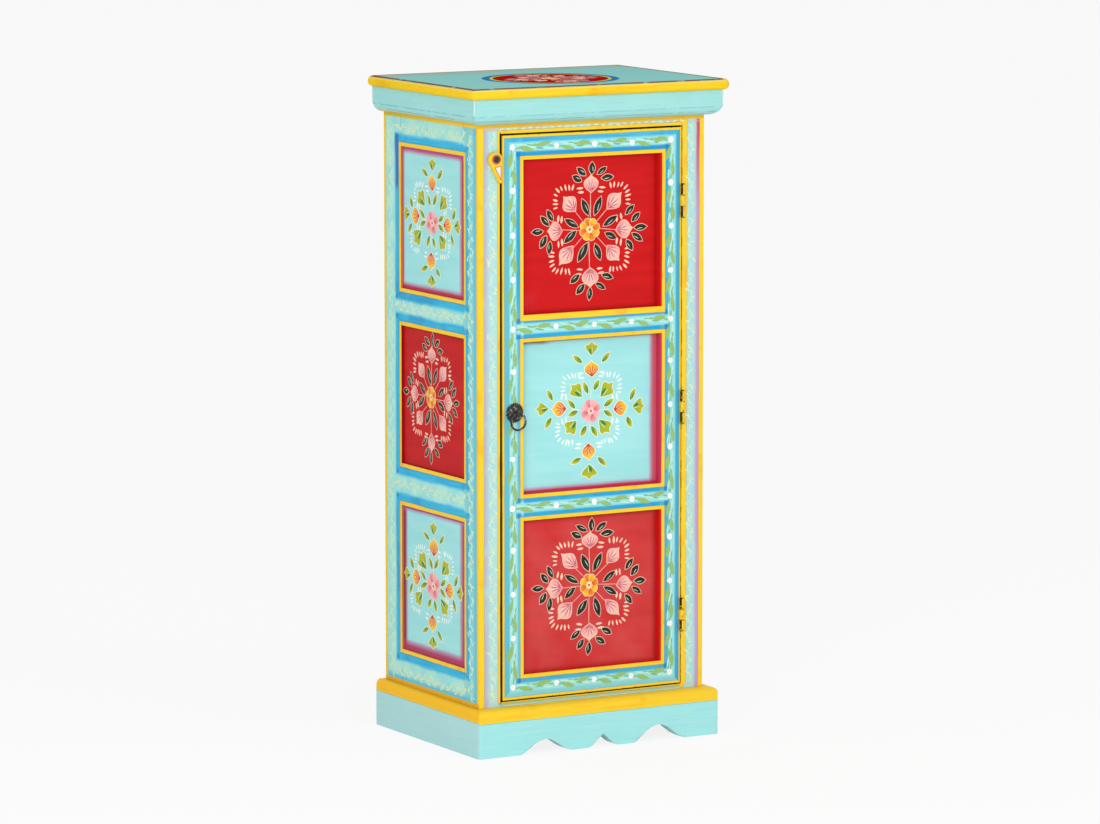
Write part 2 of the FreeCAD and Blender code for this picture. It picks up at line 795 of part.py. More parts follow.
def check_clearances():
    """Prints how the moving pieces clear the frame, in millimetres."""
    angle = radians(latch_angle_deg)
    tip_x = latch_x + (latch_reach - latch_tip_radius) * cos(angle) + latch_tip_radius
    corner = hypot(pin_x - door_left, front_y + door_thickness - pin_y)
    print("button clear of the swinging door", round(pin_x - corner - tip_x, 2))
    print("door clear of the left post", round(inner_half + pin_x - corner, 2))


def main():
    os.makedirs("parts", exist_ok=True)
    frame_cuts, door_cuts = make_hinges()
    side_cuts = make_sides()
    front_rails = make_front_rails()
    back_cuts = make_back()
    latch_cut = make_latch()
    make_posts(side_cuts, front_rails, back_cuts, frame_cuts, latch_cut)
    make_shelves()
    make_plinth()
    make_cornice()
    make_top()
    make_door(door_cuts, make_pull())
    check_clearances()
    for name, shape in nodes.items():
        shape.exportStep("parts/" + name + ".step")
    print(len(nodes), "nodes")


main()
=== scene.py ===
from functools import reduce
from math import atan2, cos, degrees, pi, radians, sin
from random import Random

import bpy
from mathutils import Matrix, Vector


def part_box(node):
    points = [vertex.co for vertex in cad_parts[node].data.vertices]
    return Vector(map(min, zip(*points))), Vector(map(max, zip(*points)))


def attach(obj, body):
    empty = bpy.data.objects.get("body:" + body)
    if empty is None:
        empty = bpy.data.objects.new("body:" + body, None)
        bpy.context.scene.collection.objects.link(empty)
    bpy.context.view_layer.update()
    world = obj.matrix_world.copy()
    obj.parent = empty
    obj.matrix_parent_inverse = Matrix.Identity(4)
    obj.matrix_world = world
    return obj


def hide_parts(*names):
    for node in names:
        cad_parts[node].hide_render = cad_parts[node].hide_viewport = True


# Sizes and places are in millimetres, in the cabinet's own frame: X to the right, Y from the front
# to the back, Z up from the floor.
MM = 0.001

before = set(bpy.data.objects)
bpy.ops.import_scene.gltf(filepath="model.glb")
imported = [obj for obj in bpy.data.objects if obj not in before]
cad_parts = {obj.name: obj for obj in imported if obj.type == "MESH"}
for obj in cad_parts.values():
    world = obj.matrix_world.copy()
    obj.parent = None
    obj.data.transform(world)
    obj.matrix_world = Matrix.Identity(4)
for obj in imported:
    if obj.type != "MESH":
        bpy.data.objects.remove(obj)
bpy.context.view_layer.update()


def low(node):
    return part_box(node)[0] / MM


def high(node):
    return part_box(node)[1] / MM


def middle_of(node):
    return (low(node) + high(node)) / 2


# Faces and edges of the cabinet that the paint is laid out by.
SIDE_X = high("front_right_post").x
FRONT = low("front_left_post").y
BACK = high("back_left_post").y
OPENING_X = low("front_right_post").x
PANELS_FRONT = high("front_left_post").y
PANELS_BACK = low("back_left_post").y
CORNICE_FOOT = low("cornice_front").z
PLINTH_TOP = high("plinth_front").z
OPENING_LOW = (-OPENING_X, high("front_bottom_rail").z)
OPENING_HIGH = (OPENING_X, low("front_top_rail").z)
DOOR_LOW = (low("door_latch_stile").x, low("door_latch_stile").z)
DOOR_HIGH = (high("door_hinge_stile").x, high("door_hinge_stile").z)
LATCH_STILE_X = high("door_latch_stile").x
HINGE_STILE_X = low("door_hinge_stile").x
RAIL_NAMES = ("bottom_rail", "lower_rail", "upper_rail", "top_rail")
PANEL_PLACES = ("bottom", "middle", "top")


def panel_gaps(prefix):
    """Heights of each panel's opening, between two rails of one frame."""
    return {place: (high(prefix + below).z, low(prefix + above).z)
            for place, below, above in zip(PANEL_PLACES, RAIL_NAMES, RAIL_NAMES[1:])}


DOOR_GAPS = panel_gaps("door_")
SIDE_GAPS = panel_gaps("left_")

# How much wider the yellow is on the post beside the hinges, the top board's upper face, which leaves
# room for the paint on it, and where the upright part of the cornice ends.
HINGE_YELLOW = 3.2
TOP_FACE = high("top_board").z - 0.15
FASCIA_FOOT = high("cornice_front").z - 19

# Heights of the hinges' middles, and how long one of their three knuckles is.
HINGE_LEVELS = (167, 453.25, 735)
HINGE_THIRD = 15

# Radius and place of the red disc on the top board, and how the turn button hangs at rest.
MEDALLION = 78
MEDALLION_PLACE = (-12, -28)
BUTTON_TURN = radians(-76)

# Paints, as they look in the photograph.
TURQUOISE = "A8E8E8"
TURQUOISE_THIN = "98DEE0"
SIDE_TURQUOISE = "B4ECDE"
SIDE_AQUA = "9AE2E4"
TOP_TURQUOISE = "9CE0DC"
POST_TURQUOISE = "A8DDE2"
MINT = "BCDED6"
LILAC = "BCB0CC"
YELLOW = "FAD230"
YELLOW_DEEP = "F0B024"
OLIVE_EDGE = "7C7A28"
RED = "D21A1C"
RED_DARK = "A01014"
RED_LINE = "8A4630"
CRIMSON = "C8385A"
MAGENTA = "C2528F"
PURPLE = "B583BE"
SKY = "2AA4DA"
SKY_PALE = "58C6E6"
DEEP_BLUE = "1A78BE"
LEAF_DARK = "101D10"
LEAF_VEIN = "CCDCC0"
CREAM = "F4C8AC"
CREAM_WHITE = "FBF7DC"
PINK = "F5BEAE"
ROSE = "E6728A"
ROSE_DARK = "C23A5C"
AMBER = "F08C1A"
FLAME = "E2481E"
OLIVE = "B8BC20"
GREEN = "2A8636"
FLOWER_PINK = "F2A2A8"
FLOWER_DEEP = "DE5668"
DOT_WHITE = "F8F8F2"
VINE_LEAF = "96BE70"
VINE_GREEN = "7CBA8A"
VINE_PALE = "C4EEDE"
VINE_YELLOW = "DCECBC"
BARE_WOOD = "8A5F3C"
BARE_WOOD_DARK = "5E3D24"
# GAP_BROWN is painted shade in the gaps round the door; it also darkens chips and brush marks.
GAP_BROWN = "2A1606"
IRON = "2B2727"
STEEL = "5A544E"


def linear(code):
    """A colour for a shader, from its six hex digits."""
    parts = [int(code[at:at + 2], 16) / 255 for at in (0, 2, 4)]
    return (*(part / 12.92 if part <= 0.04045 else ((part + 0.055) / 1.055) ** 2.4 for part in parts), 1)


class Wire:
    """A socket in a material's tree, and the sums that masks are written in."""

    def __init__(self, tree, socket=None):
        self.tree = tree
        self.socket = socket

    def node(self, kind, inputs=None, output=0, **settings):
        """Adds a node: its settings, then the values or links of its sockets."""
        added = self.tree.nodes.new("ShaderNode" + kind)
        for name, value in settings.items():
            setattr(added, name, value)
        for key, value in (inputs or {}).items():
            if isinstance(value, Wire):
                self.tree.links.new(value.socket, added.inputs[key])
            else:
                added.inputs[key].default_value = linear(value) if isinstance(value, str) else value
        return Wire(self.tree, added.outputs[output])

    def math(self, operation, *values):
        return self.node("Math", dict(enumerate(values)), operation=operation)

    __add__ = __radd__ = lambda self, other: self.math("ADD", self, other)
    __mul__ = __rmul__ = lambda self, other: self.math("MULTIPLY", self, other)
    __sub__ = lambda self, other: self.math("SUBTRACT", self, other)
    __rsub__ = lambda self, other: self.math("SUBTRACT", other, self)
    __abs__ = lambda self: self.math("ABSOLUTE", self)
    lower = lambda self, other: self.math("MINIMUM", self, other)
    higher = lambda self, other: self.math("MAXIMUM", self, other)

    def rise(self, start, end):
        """0 before the start, 1 past the end, a soft slope between; it falls where start is above end."""
        return self.node("MapRange", {0: self, 1: start, 2: end}, interpolation_type="SMOOTHSTEP")

    def past(self, edge, start, end):
        """Rises between two distances past an edge."""
        return self.rise(edge + start, edge + end)

    def cover(self, under, over):
        """This mask's share of one colour laid over another."""
        return self.node("Mix", {0: self, 6: under, 7: over}, output=2, data_type="RGBA")

    def parts(self):
        split = self.node("SeparateXYZ", {0: self}).socket.node
        return [Wire(self.tree, output) for output in split.outputs]

    def stretch(self, x, y, z):
        return self.node("VectorMath", {0: self, 1: (x, y, z)}, operation="MULTIPLY")

    def drawn(self, along, share):
        """Points drawn together along one axis, so that a pattern runs that way."""
        return self.stretch(*(share if axis == along else 1 for axis in "xyz"))

    def noise(self, size, detail=2):
        """Soft random values round 0.5, in patches of about that size."""
        return self.node("TexNoise", {"Vector": self, "Scale": 1 / size, "Detail": detail})


def begin(name, specular=0.15):
    """A new material, and where a point lies, in millimetres, and faces."""
    material = bpy.data.materials.new(name)
    material.use_nodes = True
    material.node_tree.nodes["Principled BSDF"].inputs["Specular IOR Level"].default_value = specular
    wires = Wire(material.node_tree)
    place = wires.node("TexCoord", output="Object").stretch(1 / MM, 1 / MM, 1 / MM)
    return material, place, wires.node("TexCoord", output="Normal")


def begin_paint(name, along, specular=0.15):
    """The same with x, y and z, the marks of the brush and how far the hand strays."""
    material, place, facing = begin(name, specular)
    return material, place, facing, place.parts(), brush_marks(place, along), hand_wander(place)


def finish(material, base, roughness, height, edge=0, metallic=None):
    """Feeds the shader, and a bump in millimetres over softened edges."""
    tree = material.node_tree
    shader = tree.nodes["Principled BSDF"]
    for name, wire in (("Base Color", base), ("Roughness", roughness), ("Metallic", metallic)):
        if wire:
            tree.links.new(wire.socket, shader.inputs[name])
    bump = {"Height": height, "Distance": MM}
    if edge:
        bump["Normal"] = height.node("Bevel", {"Radius": edge * MM}, samples=4)
    tree.links.new(height.node("Bump", bump).socket, shader.inputs["Normal"])
    return material


def layers(base, *coats):
    """Coats of paint over a base, each a mask and a colour."""
    for mask, paint in coats:
        base = mask.cover(base, paint)
    return base


def brush_marks(place, along):
    """Marks of a brush drawn along one axis."""
    return place.drawn(along, 0.04).noise(2.4, 3)


def hand_wander(place):
    """How far a hand-drawn line strays, in millimetres."""
    return (place.noise(45) - 0.5) * 3.4 + (place.noise(11) - 0.5)


def band(distance, reach, soft=0.45):
    """1 up to a distance from an edge and 0 past it."""
    return distance.rise(reach + soft, reach - soft)


def beyond(value, start, end):
    """How far a value lies outside a stretch; below zero inside it."""
    return (start - value).higher(value - end)


def outside(across, up, corner_low, corner_high):
    """How far a point lies outside an upright rectangle."""
    return beyond(across, corner_low[0], corner_high[0]).higher(beyond(up, corner_low[1], corner_high[1]))


def frame_distances(across, up, left, right, gaps):
    """How far a point lies beside the panels' openings, and above or below the nearest."""
    return beyond(across, left, right), reduce(Wire.lower, [beyond(up, *gap) for gap in gaps])


def yellow_lines(reaches, more, base, place, marks):
    """Yellow up to a reach from each distance, with a thin dark edge, and in the other masks."""
    edges = reduce(Wire.higher, [edge_line(*pair) for pair in reaches])
    yellow = reduce(Wire.higher, [band(*pair) for pair in reaches] + more)
    return yellow.cover((edges * 0.5).cover(base, OLIVE_EDGE), yellow_paint(place, marks))


def yellow_paint(place, marks):
    base = marks.rise(0.28, 0.55).cover("FBC626", YELLOW)
    return (place.noise(38).rise(0.56, 0.72) * marks.rise(0.3, 0.6) * 0.8).cover(base, YELLOW_DEEP)


def edge_line(distance, reach):
    return abs(distance - reach - 0.3).rise(0.8, 0.2)


def two_sided(material, marks, inside, painted, wood, height, edge=0.8):
    """Paint outside, and inside the oiled wood, given with its grain."""
    base = inside.cover(painted, wood[0])
    return finish(material, base, inside * 0.25 + rough(marks), height + inside * wood[1], edge)


def rough(marks, least=0.32):
    return marks * 0.2 + least


def wood_grain(place, along):
    """Plain oiled wood: its colour and its height."""
    rings = place.drawn(along, 0.05)
    grain = rings.noise(5, 5) * 0.7 + rings.noise(0.7, 2) * 0.3
    return grain.rise(0.35, 0.68).cover(BARE_WOOD_DARK, BARE_WOOD), grain * 0.12


def carcass_front(x, z, place, marks, wander):
    """Front of the carcass: yellow at the corners and round the door, lilac and mint between."""
    right = x.rise(-1, 1)
    from_corner = SIDE_X - abs(x) + wander * 0.4 + right * 1.6
    over_door = z.past(OPENING_HIGH[1], 3, 4)
    round_door = outside(x, z, OPENING_LOW, OPENING_HIGH) + wander * 0.3
    under_door = z.past(OPENING_LOW[1], 1, -1)
    base = layers(
        place.noise(9, 3).rise(0.35, 0.65).cover(POST_TURQUOISE, MINT),
        (band(from_corner, 14.5, 4.5) * place.noise(26).rise(0.15, 0.5) * 0.85, LILAC),
        (band(from_corner, 13.4, 1.2) * right * 0.9, z.rise(700, 850).cover("C59CCB", CRIMSON)),
        (over_door * place.noise(40).rise(0.35, 0.6) * 0.85, "CEB8AC"),
        (band(round_door, 4.3) * under_door, "A8C49C"))
    beside_door = round_door + under_door * 3.3 - x.past(OPENING_X, -2, -1) * HINGE_YELLOW
    under_cornice = band(CORNICE_FOOT - z + wander * 0.25, 5)
    return layers(
        yellow_lines(((from_corner, 8.4), (beside_door, 4.3)), [under_cornice], base, place, marks),
        # Under the cornice the yellow is a duller orange: painted shade of the cornice's overhang.
        (under_cornice * 0.75, "E4AE3C"),
        # A dark brown line down the left of the door's opening: painted shade in the gap.
        (band(round_door, 1.1, 0.3) * x.past(-OPENING_X, 1, 0.4), GAP_BROWN))


def carcass_side(y, z, place, marks, wander):
    """Side frames: yellow lines at their edges and round the panels, shaded with blue."""
    sideways, upwards = frame_distances(y, z, PANELS_FRONT, PANELS_BACK, SIDE_GAPS.values())
    border = sideways.higher(upwards) + wander * 0.5
    narrower = y.past(PANELS_FRONT, 1, -1) * 3
    shade = band(border + narrower + (place.noise(60) - 0.5) * 5, 16.5, 3.2)
    corner = sideways.lower(upwards).rise(6, 12) * band(border, 15, 1.5)
    blue = layers(
        marks.rise(0.3, 0.7).cover("1EAEDE", "3CC2E6"),
        (place.noise(70).rise(0.56, 0.64) * 0.35, DEEP_BLUE),
        (y.past(PANELS_BACK, 5, 8) * z.rise(742, 756), DEEP_BLUE),
        ((corner * 0.8).higher(band(border, 7.4, 1.2) * 0.25), DEEP_BLUE))
    from_front = y - FRONT + wander * 0.4
    base = layers(
        place.noise(24, 3).rise(0.35, 0.65).cover(SIDE_TURQUOISE, SIDE_AQUA),
        (y.past(PANELS_FRONT, 0, -4) * 0.5, "5CC0D0"),
        (band(from_front, 13, 4) * 0.85, SKY_PALE),
        (shade, blue),
        (z.past(PLINTH_TOP, 17, 7), "62C8E0"))
    from_back = BACK - y + wander * 0.3
    under_cornice = band(CORNICE_FOOT - z + wander * 0.3, 5)
    foot = band(z - PLINTH_TOP + wander * 0.2, 5.6)
    lines = (border, 5.2), (from_front, 5), (from_back, 6.2)
    return layers(
        yellow_lines(lines, [under_cornice, foot], base, place, marks),
        # Darker mustard over the carcass's foot, in the crease above the plinth: painted shade.
        (foot * 0.6, "D89E1C"),
        # Olive under the cornice, deepening towards the back: painted shade of the cornice's overhang.
        (under_cornice * y.past(FRONT, 30, BACK - FRONT) * 0.7, "C4B62A"))


def crack(distance, place):
    """A hair crack where two members meet, broken here and there."""
    return band(abs(distance + (place.noise(5) - 0.5) * 0.8), 0.25, 0.2) * place.noise(20).rise(0.47, 0.56)


def carcass_paint(name, along):
    """Posts and rails of the carcass: painted outside, oiled wood inside."""
    material, place, facing, (x, y, z), marks, wander = begin_paint(name, along)
    sideways = abs(facing.parts()[0]).rise(0.5, 0.6) * abs(x).past(OPENING_X, 9, 10)
    cracks = crack(y - PANELS_FRONT, place).higher(crack(y - PANELS_BACK, place)) * sideways
    cracks = cracks.higher(crack(abs(x) - OPENING_X, place) * (1 - sideways))
    behind = y.past(FRONT, 1.5, 2.5) * y.past(BACK, -0.5, -1.5)
    reveal = (1 - sideways) * abs(x).past(SIDE_X, -4.5, -4) * behind * z.past(CORNICE_FOOT, 0, -1)
    red_gap = band(abs(z - sum(SIDE_GAPS["middle"]) / 2), 110)
    painted = layers(
        sideways.cover(carcass_front(x, z, place, marks, wander), carcass_side(y, z, place, marks, wander)),
        (cracks * 0.65, "4A4636"),
        (reveal, red_gap.cover("D8743C", RED_DARK)))
    wood, grain = wood_grain(place, along)
    wood = layers(
        wood,
        # Inside faces near the front are dark brown: painted shade in the gaps round the door.
        (y.past(FRONT, 14, 8), GAP_BROWN),
        # The post's wall in the gap by the hinges is a light yellow, lighter than the yellow paint: painted
        # light that lifts the gap's shade.
        (x.past(OPENING_X, -3, -2) * y.past(FRONT, 6, 4), "FFDC50"))
    at_back = facing.parts()[1].rise(0.5, 0.6) * y.past(BACK, -1.5, -0.5)
    inside = (abs(x).past(SIDE_X, -4, -5) * behind).higher(at_back)
    return two_sided(material, marks, inside, painted, (wood, grain), marks * 0.1 - cracks * 0.2)


def door_paint(name, along):
    """The door's frame: pale in the middle, blue towards the yellow lines at both edges."""
    material, place, facing, (x, y, z), marks, wander = begin_paint(name, along)
    from_side = (x - DOOR_LOW[0]).lower(DOOR_HIGH[0] - x)
    mitre = ((z - DOOR_LOW[1]).lower(DOOR_HIGH[1] - z) - from_side).rise(-0.5, 0.5)
    latch = x.past(LATCH_STILE_X, 1, 0) * mitre
    hinge = x.past(HINGE_STILE_X, -1, 0) * mitre
    from_edge = wander * 0.25 - outside(x, z, DOOR_LOW, DOOR_HIGH) + hinge * 1.4
    sideways, upwards = frame_distances(x, z, LATCH_STILE_X, HINGE_STILE_X + 3, DOOR_GAPS.values())
    sideways, upwards = sideways + wander * 0.3, upwards + wander * 0.3
    from_panel = sideways.higher(upwards)
    lowest = z.past(DOOR_GAPS["bottom"][0], 1, 0)
    blue = layers(
        marks.rise(0.25, 0.75).cover(SKY, SKY_PALE),
        (latch * 0.8, "66C0CE"),
        (hinge * 0.85, "3EA6C8"),
        (lowest * (1 - latch) * (1 - hinge) * 0.8, "8ED6DA"))
    lower = (hinge * z.rise(790, 700)).higher(lowest * 0.8)
    inner = (lower * 0.8).cover(marks.rise(0.35, 0.8).cover("26A4D8", "38B4DE"), "54B4CC")
    down = latch * z.rise(640, 540)
    deep = sideways.lower(upwards).rise(3, 5.5) * band(from_panel, 11.5, 2)
    deep = deep.higher(band(from_panel, 9, 2) * place.noise(34).rise(0.54, 0.66) * 0.3)
    deep = deep.higher(band(from_panel, 10.5, 1.5) * z.past(DOOR_GAPS["top"][1], 0, 1) * 0.4)
    base = layers(
        (marks.rise(0.3, 0.7) * 0.7).cover("A6E6E2", "8ED8DC"),
        (band(from_edge - latch * 1.8, 10, 2.2), blue),
        (band(from_panel + down * 2, 11.2, 1.8) * (1 - down * 0.35), inner),
        (deep * 0.8, DEEP_BLUE))
    # The yellow line below the top panel is much wider than the others.
    under_top = abs(z - DOOR_GAPS["top"][0] + 4).rise(6, 5)
    lines = (from_edge, 3.4), (sideways.higher(upwards - under_top * 3), 4.9)
    base = yellow_lines(lines, [], base, place, marks)
    # The door's edges are dark brown, painted shade in the gaps round it; its top edge is a lighter ochre,
    # painted light that lifts the shade of the gap above.
    gap = z.past(DOOR_HIGH[1], -1, -0.4).cover(GAP_BROWN, "AC8428")
    middle = band(abs(z - (DOOR_GAPS["middle"][0] + DOOR_GAPS["middle"][1]) / 2), 112)
    beside_panel = middle.cover(RED, CRIMSON)
    base = (from_panel.rise(0.4, -0.2) * hinge).cover(base, beside_panel)
    front = y.past(FRONT, 1.6, 0.8)
    base = front.cover(from_panel.rise(0.6, 0.2).cover(gap, beside_panel), base)
    chips_and_gap_shade = band(from_edge + hinge * 2, 1, 0.6) * place.noise(6, 3).rise(0.58, 0.64)
    # A dark line down the door's left edge: painted shade in the gap beside it, joined to the chips.
    chips_and_gap_shade = chips_and_gap_shade.higher(band(from_edge, 0.9, 0.3) * x.past(DOOR_LOW[0], 1.4, 0.8))
    base = (chips_and_gap_shade * 0.55).cover(base, GAP_BROWN)
    behind_panel = y.past(FRONT, 10.4, 11) * from_panel.rise(2.4, 1.8)
    inside = facing.parts()[1].rise(0.4, 0.5).higher(behind_panel)
    return two_sided(material, marks, inside, base, wood_grain(place, along), marks * 0.1 - chips_and_gap_shade * 0.15)


def panel_material(name, axis, corners, colour_of):
    """A panel: its own paint outside and oiled wood on its back."""
    material, place, facing = begin(name, specular=0.08)
    parts = place.parts()
    marks = place.drawn("xy"[axis], 0.15).noise(16, 4)
    across, up, (left, bottom), (right, top) = parts[axis], parts[2], *corners
    edges = across - left, right - across, up - bottom, top - up
    turned = facing.parts()[1 - axis]
    inside = turned.rise(0.4, 0.5) if axis == 0 else (turned * parts[0]).rise(-1, -2)
    painted = colour_of(place, marks, edges)
    return two_sided(material, marks, inside, painted, wood_grain(place, "z"), place.noise(3, 3) * 0.04, 0)


def red_panel(shade, haze=0):
    """Even red, with painted shade along its edges in the recess, and rubbed in a lower corner."""
    def colour_of(place, marks, edges):
        rubbed = place.noise(24, 3).rise(0.4, 0.6) * edges[0].rise(40, 2) * edges[2].rise(40, 2)
        return layers(
            # shade darkens the whole red: painted shade for the panels on the sides.
            (marks.rise(0.35, 0.65) * 0.5 + shade).cover(RED, "BE1418"),
            (place.noise(50) * haze, "E0A8A4"),
            # Darker red along the edges: painted shade in the recess.
            (reduce(Wire.lower, edges).rise(8, 0) * 0.5, RED_DARK),
            (rubbed * 0.2, "C06070"))
    return colour_of


def bordered_panel(strokes, dark_top=0):
    """Turquoise inside strokes at its left, right, bottom and top: each a width and two paints."""
    def colour_of(place, marks, edges):
        base = (marks.rise(0.35, 0.65) * 0.5).cover(TURQUOISE, TURQUOISE_THIN)
        wander = hand_wander(place) * 0.7
        for edge, (width, core, fringe) in zip(edges, strokes):
            base = layers(
                base,
                (band(edge + wander, width + 1.4, 3) * 0.7, fringe),
                (band(edge + wander * 0.6, width * 0.72, width * 0.28), core))
        left, top = edges[0], edges[3]
        # A dark olive line along the top edge, and a patch of it at the top left.
        olive = band(top + wander * 2, 4.5, 3) * band(left - 20, 24, 12)
        return (band(top, 2.2, 1.4).higher(olive) * dark_top).cover(base, "6E6A3C")
    return colour_of


def moulding_paint(name, along):
    """Turquoise mouldings, with two faint lines along their length."""
    material, place, _, (x, y, z), marks, wander = begin_paint(name, along)
    height = z - CORNICE_FOOT + wander * 0.2
    depth = 0.45 if along == "x" else 0.6
    base = layers(
        (marks.rise(0.3, 0.7) * 0.6).cover("A4E0DE", "96D8D8"),
        (place.noise(60).rise(0.45, 0.7) * 0.35, TURQUOISE),
        (abs(height - 11.8).rise(1.1, 0.3) * place.noise(14).rise(0.36, 0.52) * depth, "6CA8A8"),
        (abs(height - 5.4).rise(1, 0.3) * place.noise(26).rise(0.42, 0.54) * depth, "7E9484"))
    if along == "y":
        base = z.past(CORNICE_FOOT, 3.4, 2.8).cover(base, "E0BC2C")
    # A pale line down each front corner of the cornice: a painted highlight on the edge, where the paint is
    # also worn.
    corner = high("cornice_front").x, low("cornice_front").y
    worn = abs(x).past(corner[0], -1.7, -0.5) * y.past(corner[1], 1.6, 0.6) * z.past(FASCIA_FOOT, -2, 0)
    return finish(material, (worn * 0.7).cover(base, "E6F4F0"), rough(marks), marks * 0.1, 0.8)


def plinth_paint(name, along):
    """Turquoise boards whose top edge is yellow, with mustard painted shade where it meets the carcass."""
    material, place, _, (x, y, z), marks, wander = begin_paint(name, along)
    plain, thin, reach = (TURQUOISE, TURQUOISE_THIN, 16.8) if along == "x" else ("B4E2E2", "A6D8DA", 15)
    from_top = PLINTH_TOP - z + wander * 0.5
    base = (marks.rise(0.3, 0.7) * 0.45).cover(plain, thin)
    base = yellow_lines([(from_top, reach)], [], base, place, marks)
    # On the side boards the yellow is deeper and more orange: painted shade for the sides.
    if along == "y":
        base = (band(from_top, reach) * 0.85).cover(base, "FFC000")
    # Mustard on the top beside the carcass: painted shade in the crease.
    beside = (abs(x) - SIDE_X).higher(FRONT - y).rise(2.6, 1.4)
    beside = beside * z.past(PLINTH_TOP, -1.2, -0.6)
    return finish(material, beside.cover(base, "CD9614"), rough(marks), marks * 0.1, 0.8)


def top_paint():
    """Top board: yellow edge with a painted highlight along its top, a thin brown line inside it, and rings
    round the medallion.
    """
    material, place, _, (x, y, z), marks, wander = begin_paint("top board paint", "x", specular=0)
    board_low, board_high = low("top_board"), high("top_board")
    near = (x - board_low.x).lower(y - board_low.y)
    inset = near.lower((board_high.x - x).lower(board_high.y - y) - 7) + wander * 0.5
    above = z.past(board_high.z, -0.6, -0.1)
    offset = place.node("VectorMath", {0: place, 1: (*MEDALLION_PLACE, 0)}, operation="SUBTRACT")
    offset = offset.stretch(1, 1, 0)
    radius = offset.node("VectorMath", {0: offset}, output=1, operation="LENGTH") + wander * 0.4
    rings = (15.8, "8E9CC8"), (14.5, "2E86B4"), (4.5, YELLOW), (0, "5A1408")
    base = layers(
        (marks.rise(0.3, 0.7) * 0.6).cover(TOP_TURQUOISE, "92D2CE"),
        (y.rise(85, 120) * 0.5, "C0BCA0"),
        (abs(inset - 5.2).rise(2.8, 1.6) * place.noise(20).rise(0.2, 0.45) * 0.9, RED_LINE),
        *((radius.past(MEDALLION + wider, 0.6, -0.6) * above, paint) for wider, paint in rings),
        (radius.past(MEDALLION, -1.5, -4) * above, "BE1616"))
    yellow = z.past(board_high.z, -1.7, -2.3).higher(band(inset, 2.3))
    # A paler yellow band near the top of the rounded edge: a painted highlight.
    painted_highlight = (abs(board_high.z - 3.2 - z).rise(1.4, 0.3) * 0.5).cover(yellow_paint(place, marks), "FFF080")
    return finish(material, yellow.cover(base, painted_highlight), rough(marks, 0.5), marks * 0.1)


def oiled_wood(name, along):
    material, place, _ = begin(name)
    wood, grain = wood_grain(place, along)
    return finish(material, wood, grain * 1.2 + 0.5, grain, 0.8)


def forged_iron():
    """Black iron with hammer marks and patchy scale, and pale grey spots painted on as highlights."""
    material, place, _ = begin("forged iron", specular=0.5)
    hammer, scale = place.noise(2.2, 1), place.noise(0.5, 3)
    base = scale.rise(0.4, 0.7).cover("1A1717", "332D2A")
    # Pale grey spots: painted highlights.
    base = (place.noise(3.6, 2).rise(0.56, 0.66) * 0.8).cover(base, "9C9896")
    return finish(material, base, scale * 0.3 + 0.2, hammer * 0.3 + scale * 0.03, 0.3, hammer * 0.2 + 0.2)


def dark_steel():
    """The steel of screws and washer, tarnished."""
    material, place, _ = begin("dark steel", specular=0.5)
    tarnish = place.noise(1.5, 4)
    base = tarnish.rise(0.35, 0.7).cover(IRON, STEEL)
    return finish(material, base, tarnish * 0.4 + 0.25, tarnish * 0.03, 0.2, tarnish * 0.3 + 0.6)


def hinge_paint():
    """Yellow paint over the steel of the hinges, worn through in spots."""
    material, place, _ = begin("hinge paint")
    x, _, z = place.parts()
    worn = place.stretch(1, 1, 0.45).noise(3.2, 4).rise(0.62, 0.67)
    for level in HINGE_LEVELS:
        off = abs(z - level)
        joint, end = (abs(off - HINGE_THIRD * share).rise(0.9, 0.4) for share in (0.5, 1.5))
        beside = x.past(OPENING_X, -1.6, -2.1) * off.rise(HINGE_THIRD / 2, HINGE_THIRD / 2 + 0.5)
        near = off.rise(HINGE_THIRD * 1.7, HINGE_THIRD * 1.6) * place.noise(3).rise(0.3, 0.42)
        worn = worn.higher(joint.higher(end).higher(beside) * near)
    base = worn.cover(place.noise(6).rise(0.3, 0.6).cover(YELLOW_DEEP, YELLOW), "3A2A18")
    return finish(material, base, 0.4 + worn * 0.15, worn * -0.08, 0.25, worn * 0.7)


def button_paint():
    """Turn button: yellow, a red ring round its screw and a pale triangle in a red outline."""
    material, place, facing = begin("turn button paint")
    x, _, z = place.parts()
    screw = middle_of("latch_screw")
    across, up = x - screw.x, z - screw.z
    along = across * cos(BUTTON_TURN) + up * sin(BUTTON_TURN)
    aside = abs(up * cos(BUTTON_TURN) - across * sin(BUTTON_TURN))
    square = across * across + up * up
    radius = square.math("SQRT", square)
    marks = place.noise(2.5, 3)
    flank = aside - (27 - along) * 0.26
    frame_line = flank.rise(1.1, 0.7) * along.rise(9.4, 9.8)
    yellow = yellow_paint(place, marks)
    base = layers(
        yellow,
        (abs(radius - 6.2).rise(0.9, 0.4).higher(frame_line), FLAME),
        (flank.rise(-0.1, -0.5) * along.rise(10.4, 10.8), "D4ECEC"),
        (abs(radius - 4.9).rise(0.7, 0.3) * 0.8, "9A6A9C"))
    front = facing.parts()[1].rise(-0.3, -0.5)
    return finish(material, front.cover(yellow, base), rough(marks, 0.3), marks * 0.05, 0.3)


def brushed_colours():
    """The flowers, leaves and vines: each stroke's colour is painted on its mesh."""
    material, place, _ = begin("flower paints")
    marks = place.noise(1.1, 3)
    stroke = place.node("VertexColor", layer_name="paint")
    light, dark = marks.rise(0.45, 0.75) * 0.07, marks.rise(0.45, 0.25) * 0.15
    base = layers(stroke, (light, "FFFFFF"), (dark, GAP_BROWN))
    return finish(material, base, rough(marks, 0.3), marks * 0.04)


def dress(material, *nodes):
    for node in nodes:
        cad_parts[node].data.materials[0] = material


